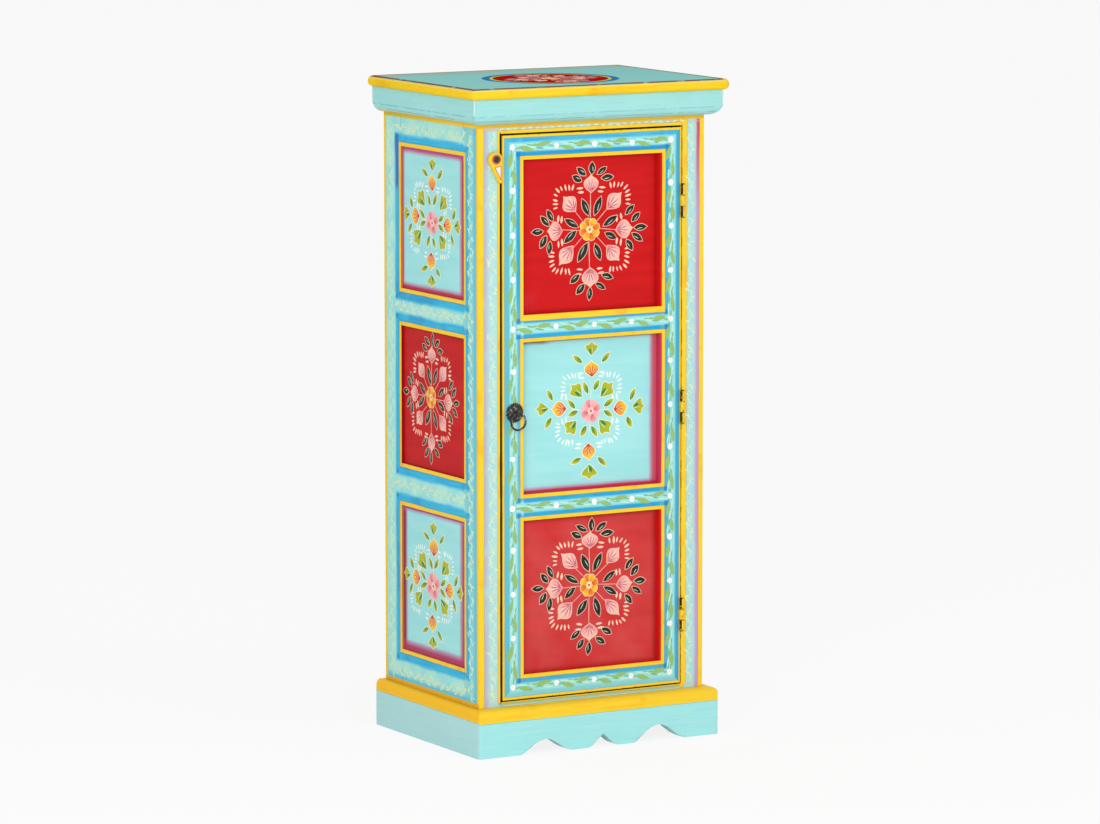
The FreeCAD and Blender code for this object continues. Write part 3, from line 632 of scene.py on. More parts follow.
def paint_carcass():
    names = list(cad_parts)
    dress(carcass_paint("carcass paint, upright", "z"), *(name for name in names if name.endswith("_post")))
    dress(carcass_paint("carcass paint, across", "x"), "front_bottom_rail", "front_top_rail")
    side_rails = [side + rail for side in ("left_", "right_") for rail in RAIL_NAMES]
    dress(carcass_paint("carcass paint, deep", "y"), *side_rails)
    dress(moulding_paint("cornice paint, across", "x"), "cornice_front")
    dress(moulding_paint("cornice paint, deep", "y"), "cornice_left", "cornice_right")
    dress(plinth_paint("plinth paint, across", "x"), "plinth_front")
    dress(plinth_paint("plinth paint, deep", "y"), "plinth_left", "plinth_right")
    dress(top_paint(), "top_board")
    back = [name for name in names if name.startswith("back_") and "post" not in name]
    dress(
        oiled_wood("oiled wood, across", "x"),
        *back, "bottom_board", "lower_shelf", "upper_shelf", "plinth_back")
    dress(oiled_wood("oiled wood, deep", "y"), "shelf_cleats")


def paint_door():
    dress(door_paint("door paint, upright", "z"), "door_latch_stile", "door_hinge_stile")
    dress(door_paint("door paint, across", "x"), *("door_" + rail for rail in RAIL_NAMES))


# Strokes along a turquoise panel's left, right, bottom and top edges: width, paint and its soft edge.
DOOR_STROKES = (
    (1.2, MAGENTA, PURPLE), (8.6, "D45E6E", MAGENTA), (4.6, CRIMSON, MAGENTA), (0.8, MAGENTA, PURPLE),
)
SIDE_STROKES = {
    "top": (
        (14.5, "B8304A", MAGENTA), (3.4, "B06A96", PURPLE),
        (7.5, "B83658", MAGENTA), (6.5, "C0508C", MAGENTA),
    ),
    "bottom": (
        (15.5, "B04A5C", MAGENTA), (9, "924456", PURPLE),
        (12.5, "B04468", MAGENTA), (5, "B0508C", PURPLE),
    ),
}


def paint_panels():
    """Three panels in the door and three in each side, red and turquoise by turns."""
    for place, (bottom, top) in DOOR_GAPS.items():
        corners = (LATCH_STILE_X, bottom), (HINGE_STILE_X, top)
        red = red_panel(0, 0.22 if place == "bottom" else 0)
        colour_of = bordered_panel(DOOR_STROKES, 0.8) if place == "middle" else red
        paint = panel_material("door panel paint, " + place, 0, corners, colour_of)
        dress(paint, "door_" + place + "_panel")
    for place, (bottom, top) in SIDE_GAPS.items():
        corners = (PANELS_FRONT, bottom), (PANELS_BACK, top)
        # The red panels on the sides get 0.4 of painted shade.
        colour_of = red_panel(0.4) if place == "middle" else bordered_panel(SIDE_STROKES[place])
        paint = panel_material("side panel paint, " + place, 1, corners, colour_of)
        dress(paint, *(side + place + "_panel" for side in ("left_", "right_")))


def paint_hardware():
    dress(forged_iron(), "pull_rosette", "pull_eye_bolt", "pull_ring", "pull_nut")
    dress(dark_steel(), "latch_screw", "latch_washer", "frame_hinge_screws", "door_hinge_screws")
    dress(hinge_paint(), "hinge_frame_leaves", "hinge_door_leaves", "hinge_pins")
    dress(button_paint(), "turn_button")


# Strokes of thick paint. Each kind is modelled once, pointing up the sheet, and copied. The shares are
# how far the corners of an outline lie from its middle, from its tip round to its foot.
STROKE_HEIGHT = 0.16
FILL_RISE = 0.07
LEAF_SHARES = (1, 0.88, 0.87, 0.94, 1, 0.94, 0.87, 0.88, 1)
BUD_SHARES = (1, 0.8, 0.76, 0.8, 0.88, 0.97, 1, 0.97, 0.9, 0.85, 0.84, 0.88, 1)
TULIP_SHARES = (1, 0.79, 0.74, 0.76, 0.83, 0.94, 1, 0.92, 0.84, 0.8, 0.8, 0.86, 1)
LOBED_SHARES = (1, 0.78, 0.68, 0.72, 0.94, 1.08, 0.96, 0.82, 0.75, 0.73, 0.77, 0.86, 1)
PETAL_SHARES = (0.9, 0.96, 1, 0.94, 0.82, 0.76, 0.84)
DASH_SHARES = (1, 0.92, 1, 0.86, 0.85)
DOT_SHARES = (1,) * 7


def deselect():
    bpy.ops.object.select_all(action="DESELECT")


def pick(piece):
    deselect()
    piece.select_set(True)
    bpy.context.view_layer.objects.active = piece


def mode(name):
    bpy.ops.object.mode_set(mode=name)


def select_whole():
    bpy.ops.mesh.select_all(action="SELECT")


def grab(piece, chosen):
    """Selects the corners whose place passes a test, in edit mode."""
    mode("EDIT")
    bpy.ops.mesh.select_mode(type="VERT")
    bpy.ops.mesh.select_all(action="DESELECT")
    mode("OBJECT")
    for corner in piece.data.vertices:
        corner.select = chosen(corner.co)
    mode("EDIT")


def push_up(rise):
    bpy.ops.mesh.extrude_region_move(TRANSFORM_OT_translate={"value": (0, 0, rise * MM)})


def widen(x, y, about=(0, 0, 0)):
    bpy.ops.transform.resize(value=(x, y, 1), center_override=about)


def face_outwards():
    """Turns all faces outwards and leaves edit mode."""
    select_whole()
    bpy.ops.mesh.normals_make_consistent(inside=False)
    mode("OBJECT")


def copy_of(source):
    piece = source.copy()
    piece.data = source.data.copy()
    bpy.context.scene.collection.objects.link(piece)
    return piece


def disc(sides, radius):
    deselect()
    bpy.ops.mesh.primitive_circle_add(vertices=sides, radius=radius, fill_type="NGON")
    return bpy.context.active_object


def blob(shares, half_width, half_length):
    """A closed disc of paint, shaped by the shares from its tip round to its foot."""
    sides = 2 * (len(shares) - 1)
    piece = disc(sides, 1)
    for step, share in enumerate(shares):
        turn = 2 * pi * step / sides
        grab(piece, lambda place: abs(abs(atan2(place.x, place.y)) - turn) < 0.01)
        widen(share, share)
    select_whole()
    widen(half_width * MM, half_length * MM)
    push_up(STROKE_HEIGHT)
    mode("OBJECT")
    return piece


def tint(piece, edge, foot, tip):
    """Paints a stroke: its raised middle from foot to tip, the rest in the edge colour."""
    mesh = piece.data
    layer = mesh.color_attributes.new("paint", "FLOAT_COLOR", "CORNER")
    heights = [corner.co.y for corner in mesh.vertices]
    bottom, length = min(heights), max(heights) - min(heights)
    edge, foot, tip = linear(edge), linear(foot), linear(tip)
    for face in mesh.polygons:
        raised = face.center.z > (STROKE_HEIGHT + FILL_RISE * 0.9) * MM
        for loop in face.loop_indices:
            share = (mesh.vertices[mesh.loops[loop].vertex_index].co.y - bottom) / length
            share = min(1, max(0, share * 2 - 0.3))
            middle = [a + (b - a) * share for a, b in zip(foot, tip)]
            layer.data[loop].color = middle if raised else edge


def outlined(shares, width, length, edge, foot, tip, line=0.9):
    """A shape filled inside an outline of another colour."""
    piece = blob(shares, width / 2, length / 2)
    mode("EDIT")
    bpy.ops.mesh.inset(thickness=line * MM, depth=FILL_RISE * MM)
    mode("OBJECT")
    tint(piece, edge, foot, tip)
    return piece


def dash(width, length, paint):
    """A short stroke of one colour, thicker towards its tip."""
    piece = blob(DASH_SHARES, width / 2, length / 2)
    tint(piece, paint, paint, paint)
    return piece


def moved(piece, x, y, turn=0, size=(1, 1), lift=0):
    """Moves a stroke on its sheet, turned by degrees from pointing up."""
    piece.data.transform(
        Matrix.Translation((x * MM, y * MM, lift * MM)) @ Matrix.Rotation(radians(turn), 4, "Z")
        @ Matrix.Diagonal((size[0], size[1], 1, 1)))
    return piece


def gather(name, strokes):
    pick(strokes[0])
    for stroke in strokes:
        stroke.select_set(True)
    bpy.ops.object.join()
    strokes[0].name = name
    return strokes[0]


def on_top(stroke, x, y, turn=0, size=(1, 1)):
    return moved(stroke, x, y, turn, size, STROKE_HEIGHT + FILL_RISE - 0.1)


def fan(paint, width, spread, foot, reach):
    """Thin strokes that fan out of the foot of a bud."""
    veins = []
    for turn in spread:
        length = reach * (1 - abs(turn) / 110)
        x, y = -sin(radians(turn)) * length * 0.55, foot + cos(radians(turn)) * length * 0.55
        veins.append(on_top(dash(width, length, paint), x, y, turn))
    return veins


def make_leaf(edge, foot, tip, vein, width, length):
    parts = [outlined(LEAF_SHARES, width, length, edge, foot, tip, 0.8)]
    parts.append(on_top(dash(1.1, length * 0.44, vein), width * 0.12, length * -0.06, 6))
    return gather("leaf", parts)


def make_pink_bud(shares, width, length):
    """A rose bud: cream at its tip and edge, rosy at its foot, with darker strokes."""
    parts = [outlined(shares, width, length, CREAM, ROSE, PINK, 1)]
    parts += fan(ROSE_DARK, 1, (-52, -30, -8, 16, 42), length * -0.38, length * 0.6)
    parts += fan("FFE6D0", 0.9, (-41, -19, 4, 29, 54), length * -0.34, length * 0.7)
    return gather("pink bud", parts)


def make_flame_bud():
    """A bud from red at its foot to yellow, with pale and rusty strokes."""
    parts = [outlined(BUD_SHARES, 22.5, 24.5, CREAM_WHITE, "DE4A20", "FFC42A", 0.9)]
    parts += fan("FFE2A8", 0.75, (-50, -24, 2, 30, 54), -7.6, 15.5)
    parts += fan("D23A1C", 1, (-37, -11, 17, 43), -7.2, 13)
    parts.append(on_top(outlined(DOT_SHARES, 5.4, 4.6, "E0441E", "D83818", "D83818", 0.8), 0, -8.6))
    return gather("flame bud", parts)


def make_lobed_leaf(width, length):
    """A leaf with three lobes, green at its foot, with a pale vein."""
    parts = [outlined(LOBED_SHARES, width, length, CREAM_WHITE, "7EA426", OLIVE, 0.95)]
    parts.append(on_top(dash(4.2, length * 0.4, GREEN), width * -0.08, length * -0.18, 12))
    parts.append(on_top(dash(1.1, length * 0.5, "F2F2C4"), width * 0.06, length * -0.16, 5))
    return gather("lobed leaf", parts)


def make_flower(edge, fills, heart):
    """The flower in the middle: eight outlined petals round a small heart."""
    parts = [blob(DOT_SHARES, 12, 12)]
    tint(parts[0], edge, edge, edge)
    for index in range(8):
        turn = 45 * index + 22.5
        foot, tip = fills[index % len(fills)]
        petal = outlined(PETAL_SHARES, 11.6, 14, edge, foot, tip, 0.8)
        x, y = -sin(radians(turn)) * 9.4, cos(radians(turn)) * 9.4
        parts.append(moved(petal, x, y, turn, lift=0.05 + 0.01 * index))
    parts.append(moved(outlined(DOT_SHARES, 5.6, 5.6, edge, heart, heart, 1.1), 0, 0, lift=0.16))
    return gather("flower", parts)


def dished(sides, steps):
    """A round piece worked up from a disc: each step has its rise and the radius it ends at."""
    reach = steps[0][1]
    piece = disc(sides, reach * MM)
    mode("EDIT")
    select_whole()
    for rise, radius in steps[1:]:
        push_up(rise)
        widen(radius / reach, radius / reach)
        reach = radius
    mode("OBJECT")
    return piece


def paint_over(piece, material):
    piece.data.materials.clear()
    piece.data.materials.append(material)


def stand_in(piece, node, name, body):
    """Puts a finer piece in a node's place and paint, smooth but for its sharp edges."""
    piece.name = name
    paint_over(piece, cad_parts[node].data.materials[0])
    pick(piece)
    bpy.ops.object.shade_smooth_by_angle(angle=radians(35))
    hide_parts(node)
    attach(piece, body)


def hang(piece, name, centre, body):
    """Stands a piece of iron up on the door's face."""
    piece.data.transform(Matrix.Translation(centre * MM) @ Matrix.Rotation(pi / 2, 4, "X"))
    stand_in(piece, name, name + "_forged", body)


def slab(corner_low, corner_high, z):
    """A flat sheet over a rectangle, all selected in edit mode."""
    deselect()
    bpy.ops.mesh.primitive_plane_add(size=MM)
    piece = bpy.context.active_object
    mode("EDIT")
    select_whole()
    widen(corner_high[0] - corner_low[0], corner_high[1] - corner_low[1])
    middle = [(a + b) / 2 * MM for a, b in zip(corner_low, corner_high)]
    bpy.ops.transform.translate(value=(*middle, z * MM))
    return piece


def cornice_block():
    """The whole cornice: an upright fascia over a quarter round that runs in to the carcass."""
    board_low, board_high = low("cornice_front"), high("cornice_front")
    back = high("cornice_left").y
    piece = slab((board_low.x, board_low.y), (board_high.x, back), board_high.z)
    aside, ahead = board_high.x - SIDE_X, FRONT - board_low.y
    drop, turns = FASCIA_FOOT - board_low.z, 9
    levels = [(FASCIA_FOOT, 1)]
    for turn in range(1, turns + 1):
        angle = pi / 2 * turn / turns
        levels.append((FASCIA_FOOT - drop * sin(angle), 0.07 + 0.93 * cos(angle)))
    height, share = board_high.z, 1
    for level, reach in levels:
        push_up(level - height)
        wide = (SIDE_X + aside * reach) / (SIDE_X + aside * share)
        deep = (back - FRONT + ahead * reach) / (back - FRONT + ahead * share)
        widen(wide, deep, (0, back * MM, 0))
        height, share = level, reach
    face_outwards()
    return piece


def sawn(block, cuts):
    """A copy of a block, sawn through upright planes, each a point and the way to what stays."""
    piece = copy_of(block)
    pick(piece)
    mode("EDIT")
    for point, way in cuts:
        select_whole()
        bpy.ops.mesh.bisect(
            plane_co=(point[0] * MM, point[1] * MM, 0), plane_no=(*way, 0), use_fill=True, clear_inner=True)
    mode("OBJECT")
    return piece


def run_cornice():
    block = cornice_block()
    aside, ahead = high("cornice_front").x - SIDE_X, FRONT - low("cornice_front").y
    corners = [(side * SIDE_X, FRONT) for side in (-1, 1)]
    inward = [(-side * ahead, -aside) for side in (-1, 1)]
    cuts = {"front": [(corners[0], (0, -1)), *zip(corners, inward)]}
    for name, side, corner, way in zip(("left", "right"), (-1, 1), corners, inward):
        cuts[name] = [(corner, (side, 0)), (corner, (-way[0], -way[1]))]
    for name in cuts:
        node = "cornice_" + name
        stand_in(sawn(block, cuts[name]), node, node + "_run", "carcass")
    bpy.data.objects.remove(block)


def rounded(radius, steps=7):
    """Rounds the selected face's edge by a quarter turn."""
    for step in range(steps):
        start, end = pi / 2 * step / steps, pi / 2 * (step + 1) / steps
        bpy.ops.mesh.inset(
            thickness=(cos(start) - cos(end)) * radius * MM, depth=(sin(end) - sin(start)) * radius * MM)


def round_top_board():
    """The top board: its edge is nearly a half round, and its corners are rounded."""
    board_low, board_high = low("top_board"), high("top_board")
    upper, under, corner_radius = 7.5, 7, 8
    piece = slab(board_low[:2], board_high[:2], board_low.z + under)
    bpy.ops.mesh.bevel(offset=corner_radius * MM, segments=6, affect="VERTICES")
    select_whole()
    push_up(TOP_FACE - board_low.z - upper - under)
    rounded(upper)
    face_outwards()
    grab(piece, lambda place: place.z < (board_low.z + under + 0.1) * MM)
    rounded(under)
    mode("OBJECT")
    stand_in(piece, "top_board", "top_board_rounded", "carcass")


# Lower edge of the front plinth board, where it is sawn in two swells: across and up.
LEFT_SWELL = (
    (-122.3, 0), (-116.3, 3.5), (-108.3, 9.5), (-100.3, 13.8), (-92.3, 17), (-84.3, 18.8), (-76.3, 17.6),
    (-68.3, 12.8), (-60.3, 7.5), (-52.3, 2.3), (-45.3, 0),
)
RIGHT_SWELL = (
    (52.7, 0), (59.7, 4.8), (67.7, 10.5), (75.7, 16.5), (83.7, 20.6), (91.7, 21.8), (99.7, 20.8),
    (107.7, 16.8), (115.7, 10.3), (123.7, 4.2), (133.7, 0),
)


def sawn_height(swell, x):
    for (before, start), (after, end) in zip(swell, swell[1:]):
        if before <= x <= after:
            return start + (end - start) * (x - before) / (after - before)


def scallop_plinth():
    """The front plinth board with its swells as sawn by hand, fuller than a fair curve."""
    piece = bpy.data.objects.new("plinth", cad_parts["plinth_front"].data.copy())
    bpy.context.scene.collection.objects.link(piece)
    pick(piece)
    bpy.ops.mesh.customdata_custom_splitnormals_clear()
    mode("EDIT")
    select_whole()
    bpy.ops.mesh.remove_doubles(threshold=0.001 * MM)
    mode("OBJECT")
    for swell in (LEFT_SWELL, RIGHT_SWELL):
        places = [(corner.co.x / MM, corner.co.z / MM) for corner in piece.data.vertices]
        edge = {(round(x, 1), round(z, 2)) for x, z in places
                if swell[0][0] < x < swell[-1][0] and 0.1 < z < 30}
        for x, z in sorted(edge):
            grab(piece, lambda place: abs(place.x / MM - x) < 0.2 and abs(place.z / MM - z) < 0.2)
            bpy.ops.transform.translate(value=(0, 0, (sawn_height(swell, x) - z) * MM))
            mode("OBJECT")
    stand_in(piece, "plinth_front", "plinth_front_sawn", "carcass")


TEETH = 26


def forge_pull():
    """The rosette, with small sharp teeth and a dome, and the ring, thicker where it hangs."""
    plate = dished(2 * TEETH, ((0, 13.95), (1.25, 13.95), (0.35, 13.5)))
    grab(plate, lambda place: round(atan2(place.y, place.x) * TEETH / pi) % 2)
    widen(0.84, 0.84)
    mode("OBJECT")
    dome = dished(40, (
        (0, 10.6), (1.4, 10.6), (0.5, 9.9), (1.3, 9), (1.3, 7.4), (0.9, 5.4), (0.5, 2.6), (0.1, 1.2)))
    centre = middle_of("pull_rosette")
    centre.y = high("pull_rosette").y
    hang(gather("rosette", [plate, dome]), "pull_rosette", centre, "door")
    size = (high("pull_ring") - low("pull_ring")) / 2
    deselect()
    bpy.ops.mesh.primitive_torus_add(
        major_segments=64, minor_segments=16, major_radius=(size.z - size.y) * MM, minor_radius=size.y * MM)
    ring = bpy.context.active_object
    grab(ring, lambda place: place.y < -size.z * 0.45 * MM)
    bpy.ops.transform.resize(value=(1, 1, 1.06), center_override=(0, 0, 0))
    mode("OBJECT")
    hang(ring, "pull_ring", middle_of("pull_ring"), "ring")


class Sheet:
    """Strokes laid flat before they go onto the cabinet, by a hand that shakes a little."""

    def __init__(self, seed):
        self.hand = Random(seed)
        self.strokes = []

    def stamp(self, kind, x, y, turn, size=1, narrow=1):
        """A copy of a stroke that points along a direction in degrees, 90 being up."""
        copy = copy_of(STROKES[kind])
        shake = self.hand.gauss
        self.strokes.append(moved(
            copy, x + shake(0, 0.4), y + shake(0, 0.4), turn - 90 + shake(0, 3),
            (size * narrow * (1 + shake(0, 0.06)), size * (1 + shake(0, 0.05))),
            0.006 * (len(self.strokes) % 9)))

    def stamp_all(self, kind, places, size=1):
        for x, y, turn in places:
            self.stamp(kind, x, y, turn, size)

    def lay(self, name, body, slot, centre, right, up, spread=(1, 1, 1)):
        """Joins the strokes and lays them on a face, where right and up are the sheet's ways."""
        piece = gather(name, self.strokes)
        out = Vector(right).cross(Vector(up))
        onto = Matrix((right, up, out)).transposed().to_4x4()
        onto.translation = Vector(centre) * MM - out * 0.03 * MM
        piece.data.transform(onto @ Matrix.Diagonal((*spread, 1)))
        paint_over(piece, FLOWER_PAINTS)
        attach(piece, body)


# Places on the bouquets, from their middle: to the right, up, and which way the stroke points.
INNER_LEAVES = (
    (-6, 31, 112), (13, 31, 62), (-10, -30, -123), (13, -31, -72),
    (-28, 10, 146), (-30, -9, -143), (32, 10, 31), (33, -10, -26),
)
OUTER_LEAVES = (
    (-20, 70, 153), (-12.5, 79, 146), (4, 83, 86), (19, 79, 33), (28, 69, 3),
    (-22, -66, -142), (-14, -80, -128), (0, -87, -97), (18, -77, -35), (28, -65, -22),
    (-61, 22, 120), (-69, 15, 131), (-80, 1, 180), (-72, -13, -125), (-62, -22, -97),
    (63, 24, 45), (71.5, 14, 48), (80, 0, 3), (75, -13, -35), (62, -23.5, -52),
)
CROSS_BUDS = ((2, 62, 90), (0.6, -65, -90), (-54, 0, 180), (54.6, -2, 0))
CORNER_BUDS = ((-31, 36.5, 135), (38, 37, 45), (-37, -33, -135), (37, -33.5, -45))
OLIVE_LEAVES = (
    (-8, 32, 113), (9, 34, 58), (-30, 11, 140), (-28, -2.5, 205),
    (28, 9, 31), (27, -6, -34), (-11, -27.5, -120), (6, -29, -63),
    (-21, 71, 147), (24, 71, 44), (-23, -68, 200), (18, -71, -41),
    (-63, 25, 123), (-66, -13, -123), (65, 17.5, 62), (60, -20, -65),
)
LOBED_LEAVES = ((-23, 28.5, 135), (25, 27, 45), (-31, -21, -140), (22, -23, -45))
END_LEAVES = ((1, 84, 90, 1), (-2, -84, -90, 1.35), (-76, 7, 180, 0.95), (75, 1, 0, 1.1))
FLAME_BUDS = ((1, 57, 90), (-3, -56, -90), (-50, 5, 180), (46.5, 0, 0))


def lashes(sheet, kind, x, y, outward, near, count=9, spread=116):
    """Short strokes that fan out round the far side of a bud, furthest off at its tip."""
    for index in range(count):
        turn = outward + spread * (index / (count - 1) - 0.5)
        across, up = cos(radians(turn)), sin(radians(turn))
        reach = near / (across ** 4 + up ** 4) ** 0.25
        sheet.stamp(kind, x + across * reach, y + up * reach, turn, sheet.hand.uniform(0.85, 1.15))


def side_lashes(sheet, kind, x, y, outward):
    """Two small strokes on each side of a bud, near its foot."""
    forward = Vector((cos(radians(outward)), sin(radians(outward))))
    aside = Vector((-forward.y, forward.x))
    for side in (-1, 1):
        for inward, reach in ((5.5, 17), (11.5, 15)):
            place = Vector((x, y)) - forward * inward + aside * reach * side
            sheet.stamp(kind, place.x, place.y, outward + side * 96, 1.15)


def red_bouquet(seed, lashed=True):
    """Dark leaves and pink buds on stems round an orange flower."""
    sheet = Sheet(seed)
    for x, y, _ in CROSS_BUDS + CORNER_BUDS:
        reach = (x * x + y * y) ** 0.5
        sheet.stamp("stem", x * 0.5, y * 0.5, degrees(atan2(y, x)), reach / 60)
    for x, y, turn in INNER_LEAVES:
        size, narrow = (1, 1) if abs(y) > 20 else (0.84, 1.1)
        sheet.stamp("dark leaf", x, y, turn, size, narrow)
    sheet.stamp_all("small dark leaf", OUTER_LEAVES)
    for bud in CROSS_BUDS:
        sheet.stamp("pink bud", *bud)
        side_lashes(sheet, "cream lash", *bud)
    for bud in CORNER_BUDS:
        sheet.stamp("pink tulip", *bud)
        if lashed:
            lashes(sheet, "cream lash", *bud, near=21.5)
    sheet.stamp("orange flower", 0, 0, 90)
    return sheet


def turquoise_bouquet(seed, size=1, wide=(1, 1)):
    """Olive leaves and flame-coloured buds round a pink flower."""
    sheet = Sheet(seed)
    for x, y, _ in FLAME_BUDS:
        sheet.stamp("pale stem", x * 0.45, y * 0.45, degrees(atan2(y, x)), 0.75)
    sheet.stamp_all("olive leaf", OLIVE_LEAVES, size)
    for x, y, turn in LOBED_LEAVES:
        x, y = x * wide[0], y * wide[1]
        sheet.stamp("lobed leaf", x, y, turn, size)
        lashes(sheet, "white lash", x, y, turn, near=20)
    for x, y, turn, broad in END_LEAVES:
        sheet.stamp("lobed leaf", x, y, turn, 0.76, broad * 1.15)
    for bud in FLAME_BUDS:
        sheet.stamp("flame bud", *bud, size)
        side_lashes(sheet, "white lash", *bud)
    sheet.stamp("pink flower", 0, 0, 90, size * 1.04)
    return sheet


def make_strokes():
    return {
        "dark leaf": make_leaf(CREAM, LEAF_DARK, LEAF_DARK, LEAF_VEIN, 11.4, 30.5),
        "small dark leaf": make_leaf(CREAM, LEAF_DARK, LEAF_DARK, LEAF_VEIN, 10, 20.5),
        "olive leaf": make_leaf(CREAM_WHITE, "4A8E2C", OLIVE, "2E6E2C", 8.8, 20),
        "lobed leaf": make_lobed_leaf(23, 27.5),
        "pink bud": make_pink_bud(BUD_SHARES, 25, 26),
        "pink tulip": make_pink_bud(TULIP_SHARES, 22.5, 31),
        "flame bud": make_flame_bud(),
        "orange flower": make_flower("FBDDA0", (("DE5A1A", AMBER), ("F08C1A", "FFCC22")), "D23A20"),
        "pink flower": make_flower(
            "F9CCC4", ((FLOWER_DEEP, FLOWER_PINK), (FLOWER_PINK, "F8C0BC")), FLOWER_DEEP),
        "cream lash": dash(3, 9.5, "F8D0B6"),
        "white lash": dash(2.8, 9.4, "F2FAF4"),
        "stem": dash(1.1, 60, PINK),
        "pale stem": dash(1, 30, CREAM_WHITE),
        "dot": outlined(DOT_SHARES, 8.4, 8.4, DOT_WHITE, "F6E0D4", "F6E0D4", 3.2),
        "vine leaf": dash(6.4, 22, VINE_LEAF),
        "green line": dash(2.8, 16, VINE_GREEN),
        "vine line": dash(2.2, 19, VINE_PALE),
        "yellow dash": dash(3, 9.5, VINE_YELLOW),
        "mint dash": dash(2.4, 9.5, "C6F0DC"),
    }


# A garland between two dots: how far along, how far aside, how it is tilted, its size and its kind.
GARLAND = (
    (0.12, -1, 8, 0.8, "green line"), (0.2, 3.2, -10, 0.9, "vine line"),
    (0.3, -3.2, -14, 1.05, "vine leaf"), (0.4, 2.4, -16, 0.8, "green line"),
    (0.46, 0.4, -12, 1, "vine line"), (0.5, 2.2, 4, 0.5, "vine leaf"),
    (0.6, -1.4, -8, 0.9, "green line"), (0.7, 3, 8, 1.05, "vine leaf"),
    (0.8, -3, -6, 1, "vine line"), (0.88, 0.6, -8, 0.7, "green line"),
)


def way_along(start, end):
    """A run's start, its way, the way aside, its length and its turn in degrees."""
    start, run = Vector(start), Vector(end) - Vector(start)
    along = run.normalized()
    return start, along, Vector((-along.y, along.x)), run.length, degrees(atan2(along.y, along.x))


def member_run(sheet, start, end):
    """The garland between two dots: leaves and pale lines."""
    start, along, aside, length, turn = way_along(start, end)
    stretch = length / 62
    for share, offset, tilt, size, kind in GARLAND:
        place = start + along * length * share + aside * offset
        sheet.stamp(kind, place.x, place.y, turn + tilt, size * stretch, 1 / stretch)


def door_garland():
    """Garlands on the door's stiles and rails, with a white dot at every turn."""
    sheet = Sheet(11)
    stiles = [(DOOR_LOW[0] + LATCH_STILE_X) / 2, (DOOR_HIGH[0] + HINGE_STILE_X) / 2]
    levels = [(low("door_" + rail).z + high("door_" + rail).z) / 2 for rail in RAIL_NAMES]
    dots = []
    for x in stiles:
        for below, above in zip(levels, levels[1:]):
            heights = [above + (below - above) * share for share in (0, 0.235, 0.48, 0.725, 1)]
            dots += [(x, z) for z in heights[:-1]]
            for upper, lower in zip(heights, heights[1:]):
                member_run(sheet, (x, upper), (x, lower))
        dots.append((x, levels[0]))
    for z in levels:
        spots = [stiles[0] + (stiles[1] - stiles[0]) * share for share in (0, 0.274, 0.515, 0.751, 1)]
        dots += [(x, z) for x in spots[1:-1]]
        for left, right in zip(spots, spots[1:]):
            member_run(sheet, (left, z), (right, z))
    pull = middle_of("pull_rosette").xz
    for x, z in dots:
        if (Vector((x, z)) - pull).length > 20:
            sheet.stamp("dot", x, z, 90)
    sheet.lay("door_garland", "door", "door_paint", (0, FRONT, 0), (1, 0, 0), (0, 0, 1))


def yellow_vine(sheet, start, end, width=3.4, size=1, pitch=3.6):
    """A vine scribbled along a member in short pale strokes that cross each other."""
    start, along, aside, length, turn = way_along(start, end)
    shake = sheet.hand.gauss
    for index in range(int(length / pitch)):
        side = sin(index * 0.9)
        place = start + along * pitch * (index + 0.5) + aside * (width * side + shake(0, 1.3))
        tilt = (34, -22, 58)[index % 3] + 14 * side + shake(0, 12)
        kind = "mint dash" if index % 3 == 1 else "yellow dash"
        sheet.stamp(kind, place.x, place.y, turn + tilt, size * sheet.hand.uniform(0.45, 1.05))


def post_vines():
    """Yellow vines on the front posts and along the rail over the door."""
    sheet = Sheet(23)
    middle = (SIDE_X + OPENING_X) / 2 - 4.5
    for x in (-middle, middle):
        yellow_vine(sheet, (x, CORNICE_FOOT - 12), (x, PLINTH_TOP + 8))
    level = (OPENING_HIGH[1] + CORNICE_FOOT) / 2 - 0.4
    for index in range(26):
        sheet.stamp("yellow dash", -140 + index * 11.2, level, (14, -10, 4)[index % 3], 0.85, 0.8)
    sheet.lay("front_vines", "carcass", "frame_paint", (0, FRONT, 0), (1, 0, 0), (0, 0, 1))


def side_vines(name, side):
    """Yellow vines on the stiles and rails of one side."""
    sheet = Sheet(31 + side)
    front, back = (FRONT + 21.5) * side, (BACK - 20) * side
    for across in (front, back):
        yellow_vine(sheet, (across, CORNICE_FOOT - 14), (across, PLINTH_TOP + 6), 4.6, 1.15, 2.7)
    for rail in RAIL_NAMES:
        middle = (low("left_" + rail).z + min(high("left_" + rail).z, CORNICE_FOOT + 6)) / 2
        middle = max(middle, PLINTH_TOP + 16)
        yellow_vine(sheet, (back - 12 * side, middle), (front + 12 * side, middle), 4, 1.15, 2.7)
    sheet.lay(name, "carcass", "frame_paint", (side * SIDE_X, 0, 0), (0, side, 0), (0, 0, 1))


# Where a panel's bouquet sits from the middle of its opening, and how far it is spread.
DOOR_PLACES = {"top": (1.3, 4.6), "middle": (3.5, 2.7), "bottom": (1, 7.4)}
SIDE_PLACES = {
    "top": (5, -0.7, 0.945, 0.94), "middle": (9, 4.3, 0.885, 0.95), "bottom": (3.6, -0.7, 0.985, 0.935),
}


def lay_bouquet(whose, place, seed, body, centre, right, spread=(1, 1, 1), **larger):
    """A panel's bouquet: the door's middle panel is turquoise, and so are the sides' other two."""
    turquoise = (whose == "door") == (place == "middle")
    sheet = turquoise_bouquet(seed, **larger) if turquoise else red_bouquet(seed)
    slot = ("turquoise" if turquoise else "red") + "_panel_paint"
    sheet.lay(whose + "_bouquet_" + place, body, slot, centre, right, (0, 0, 1), spread)


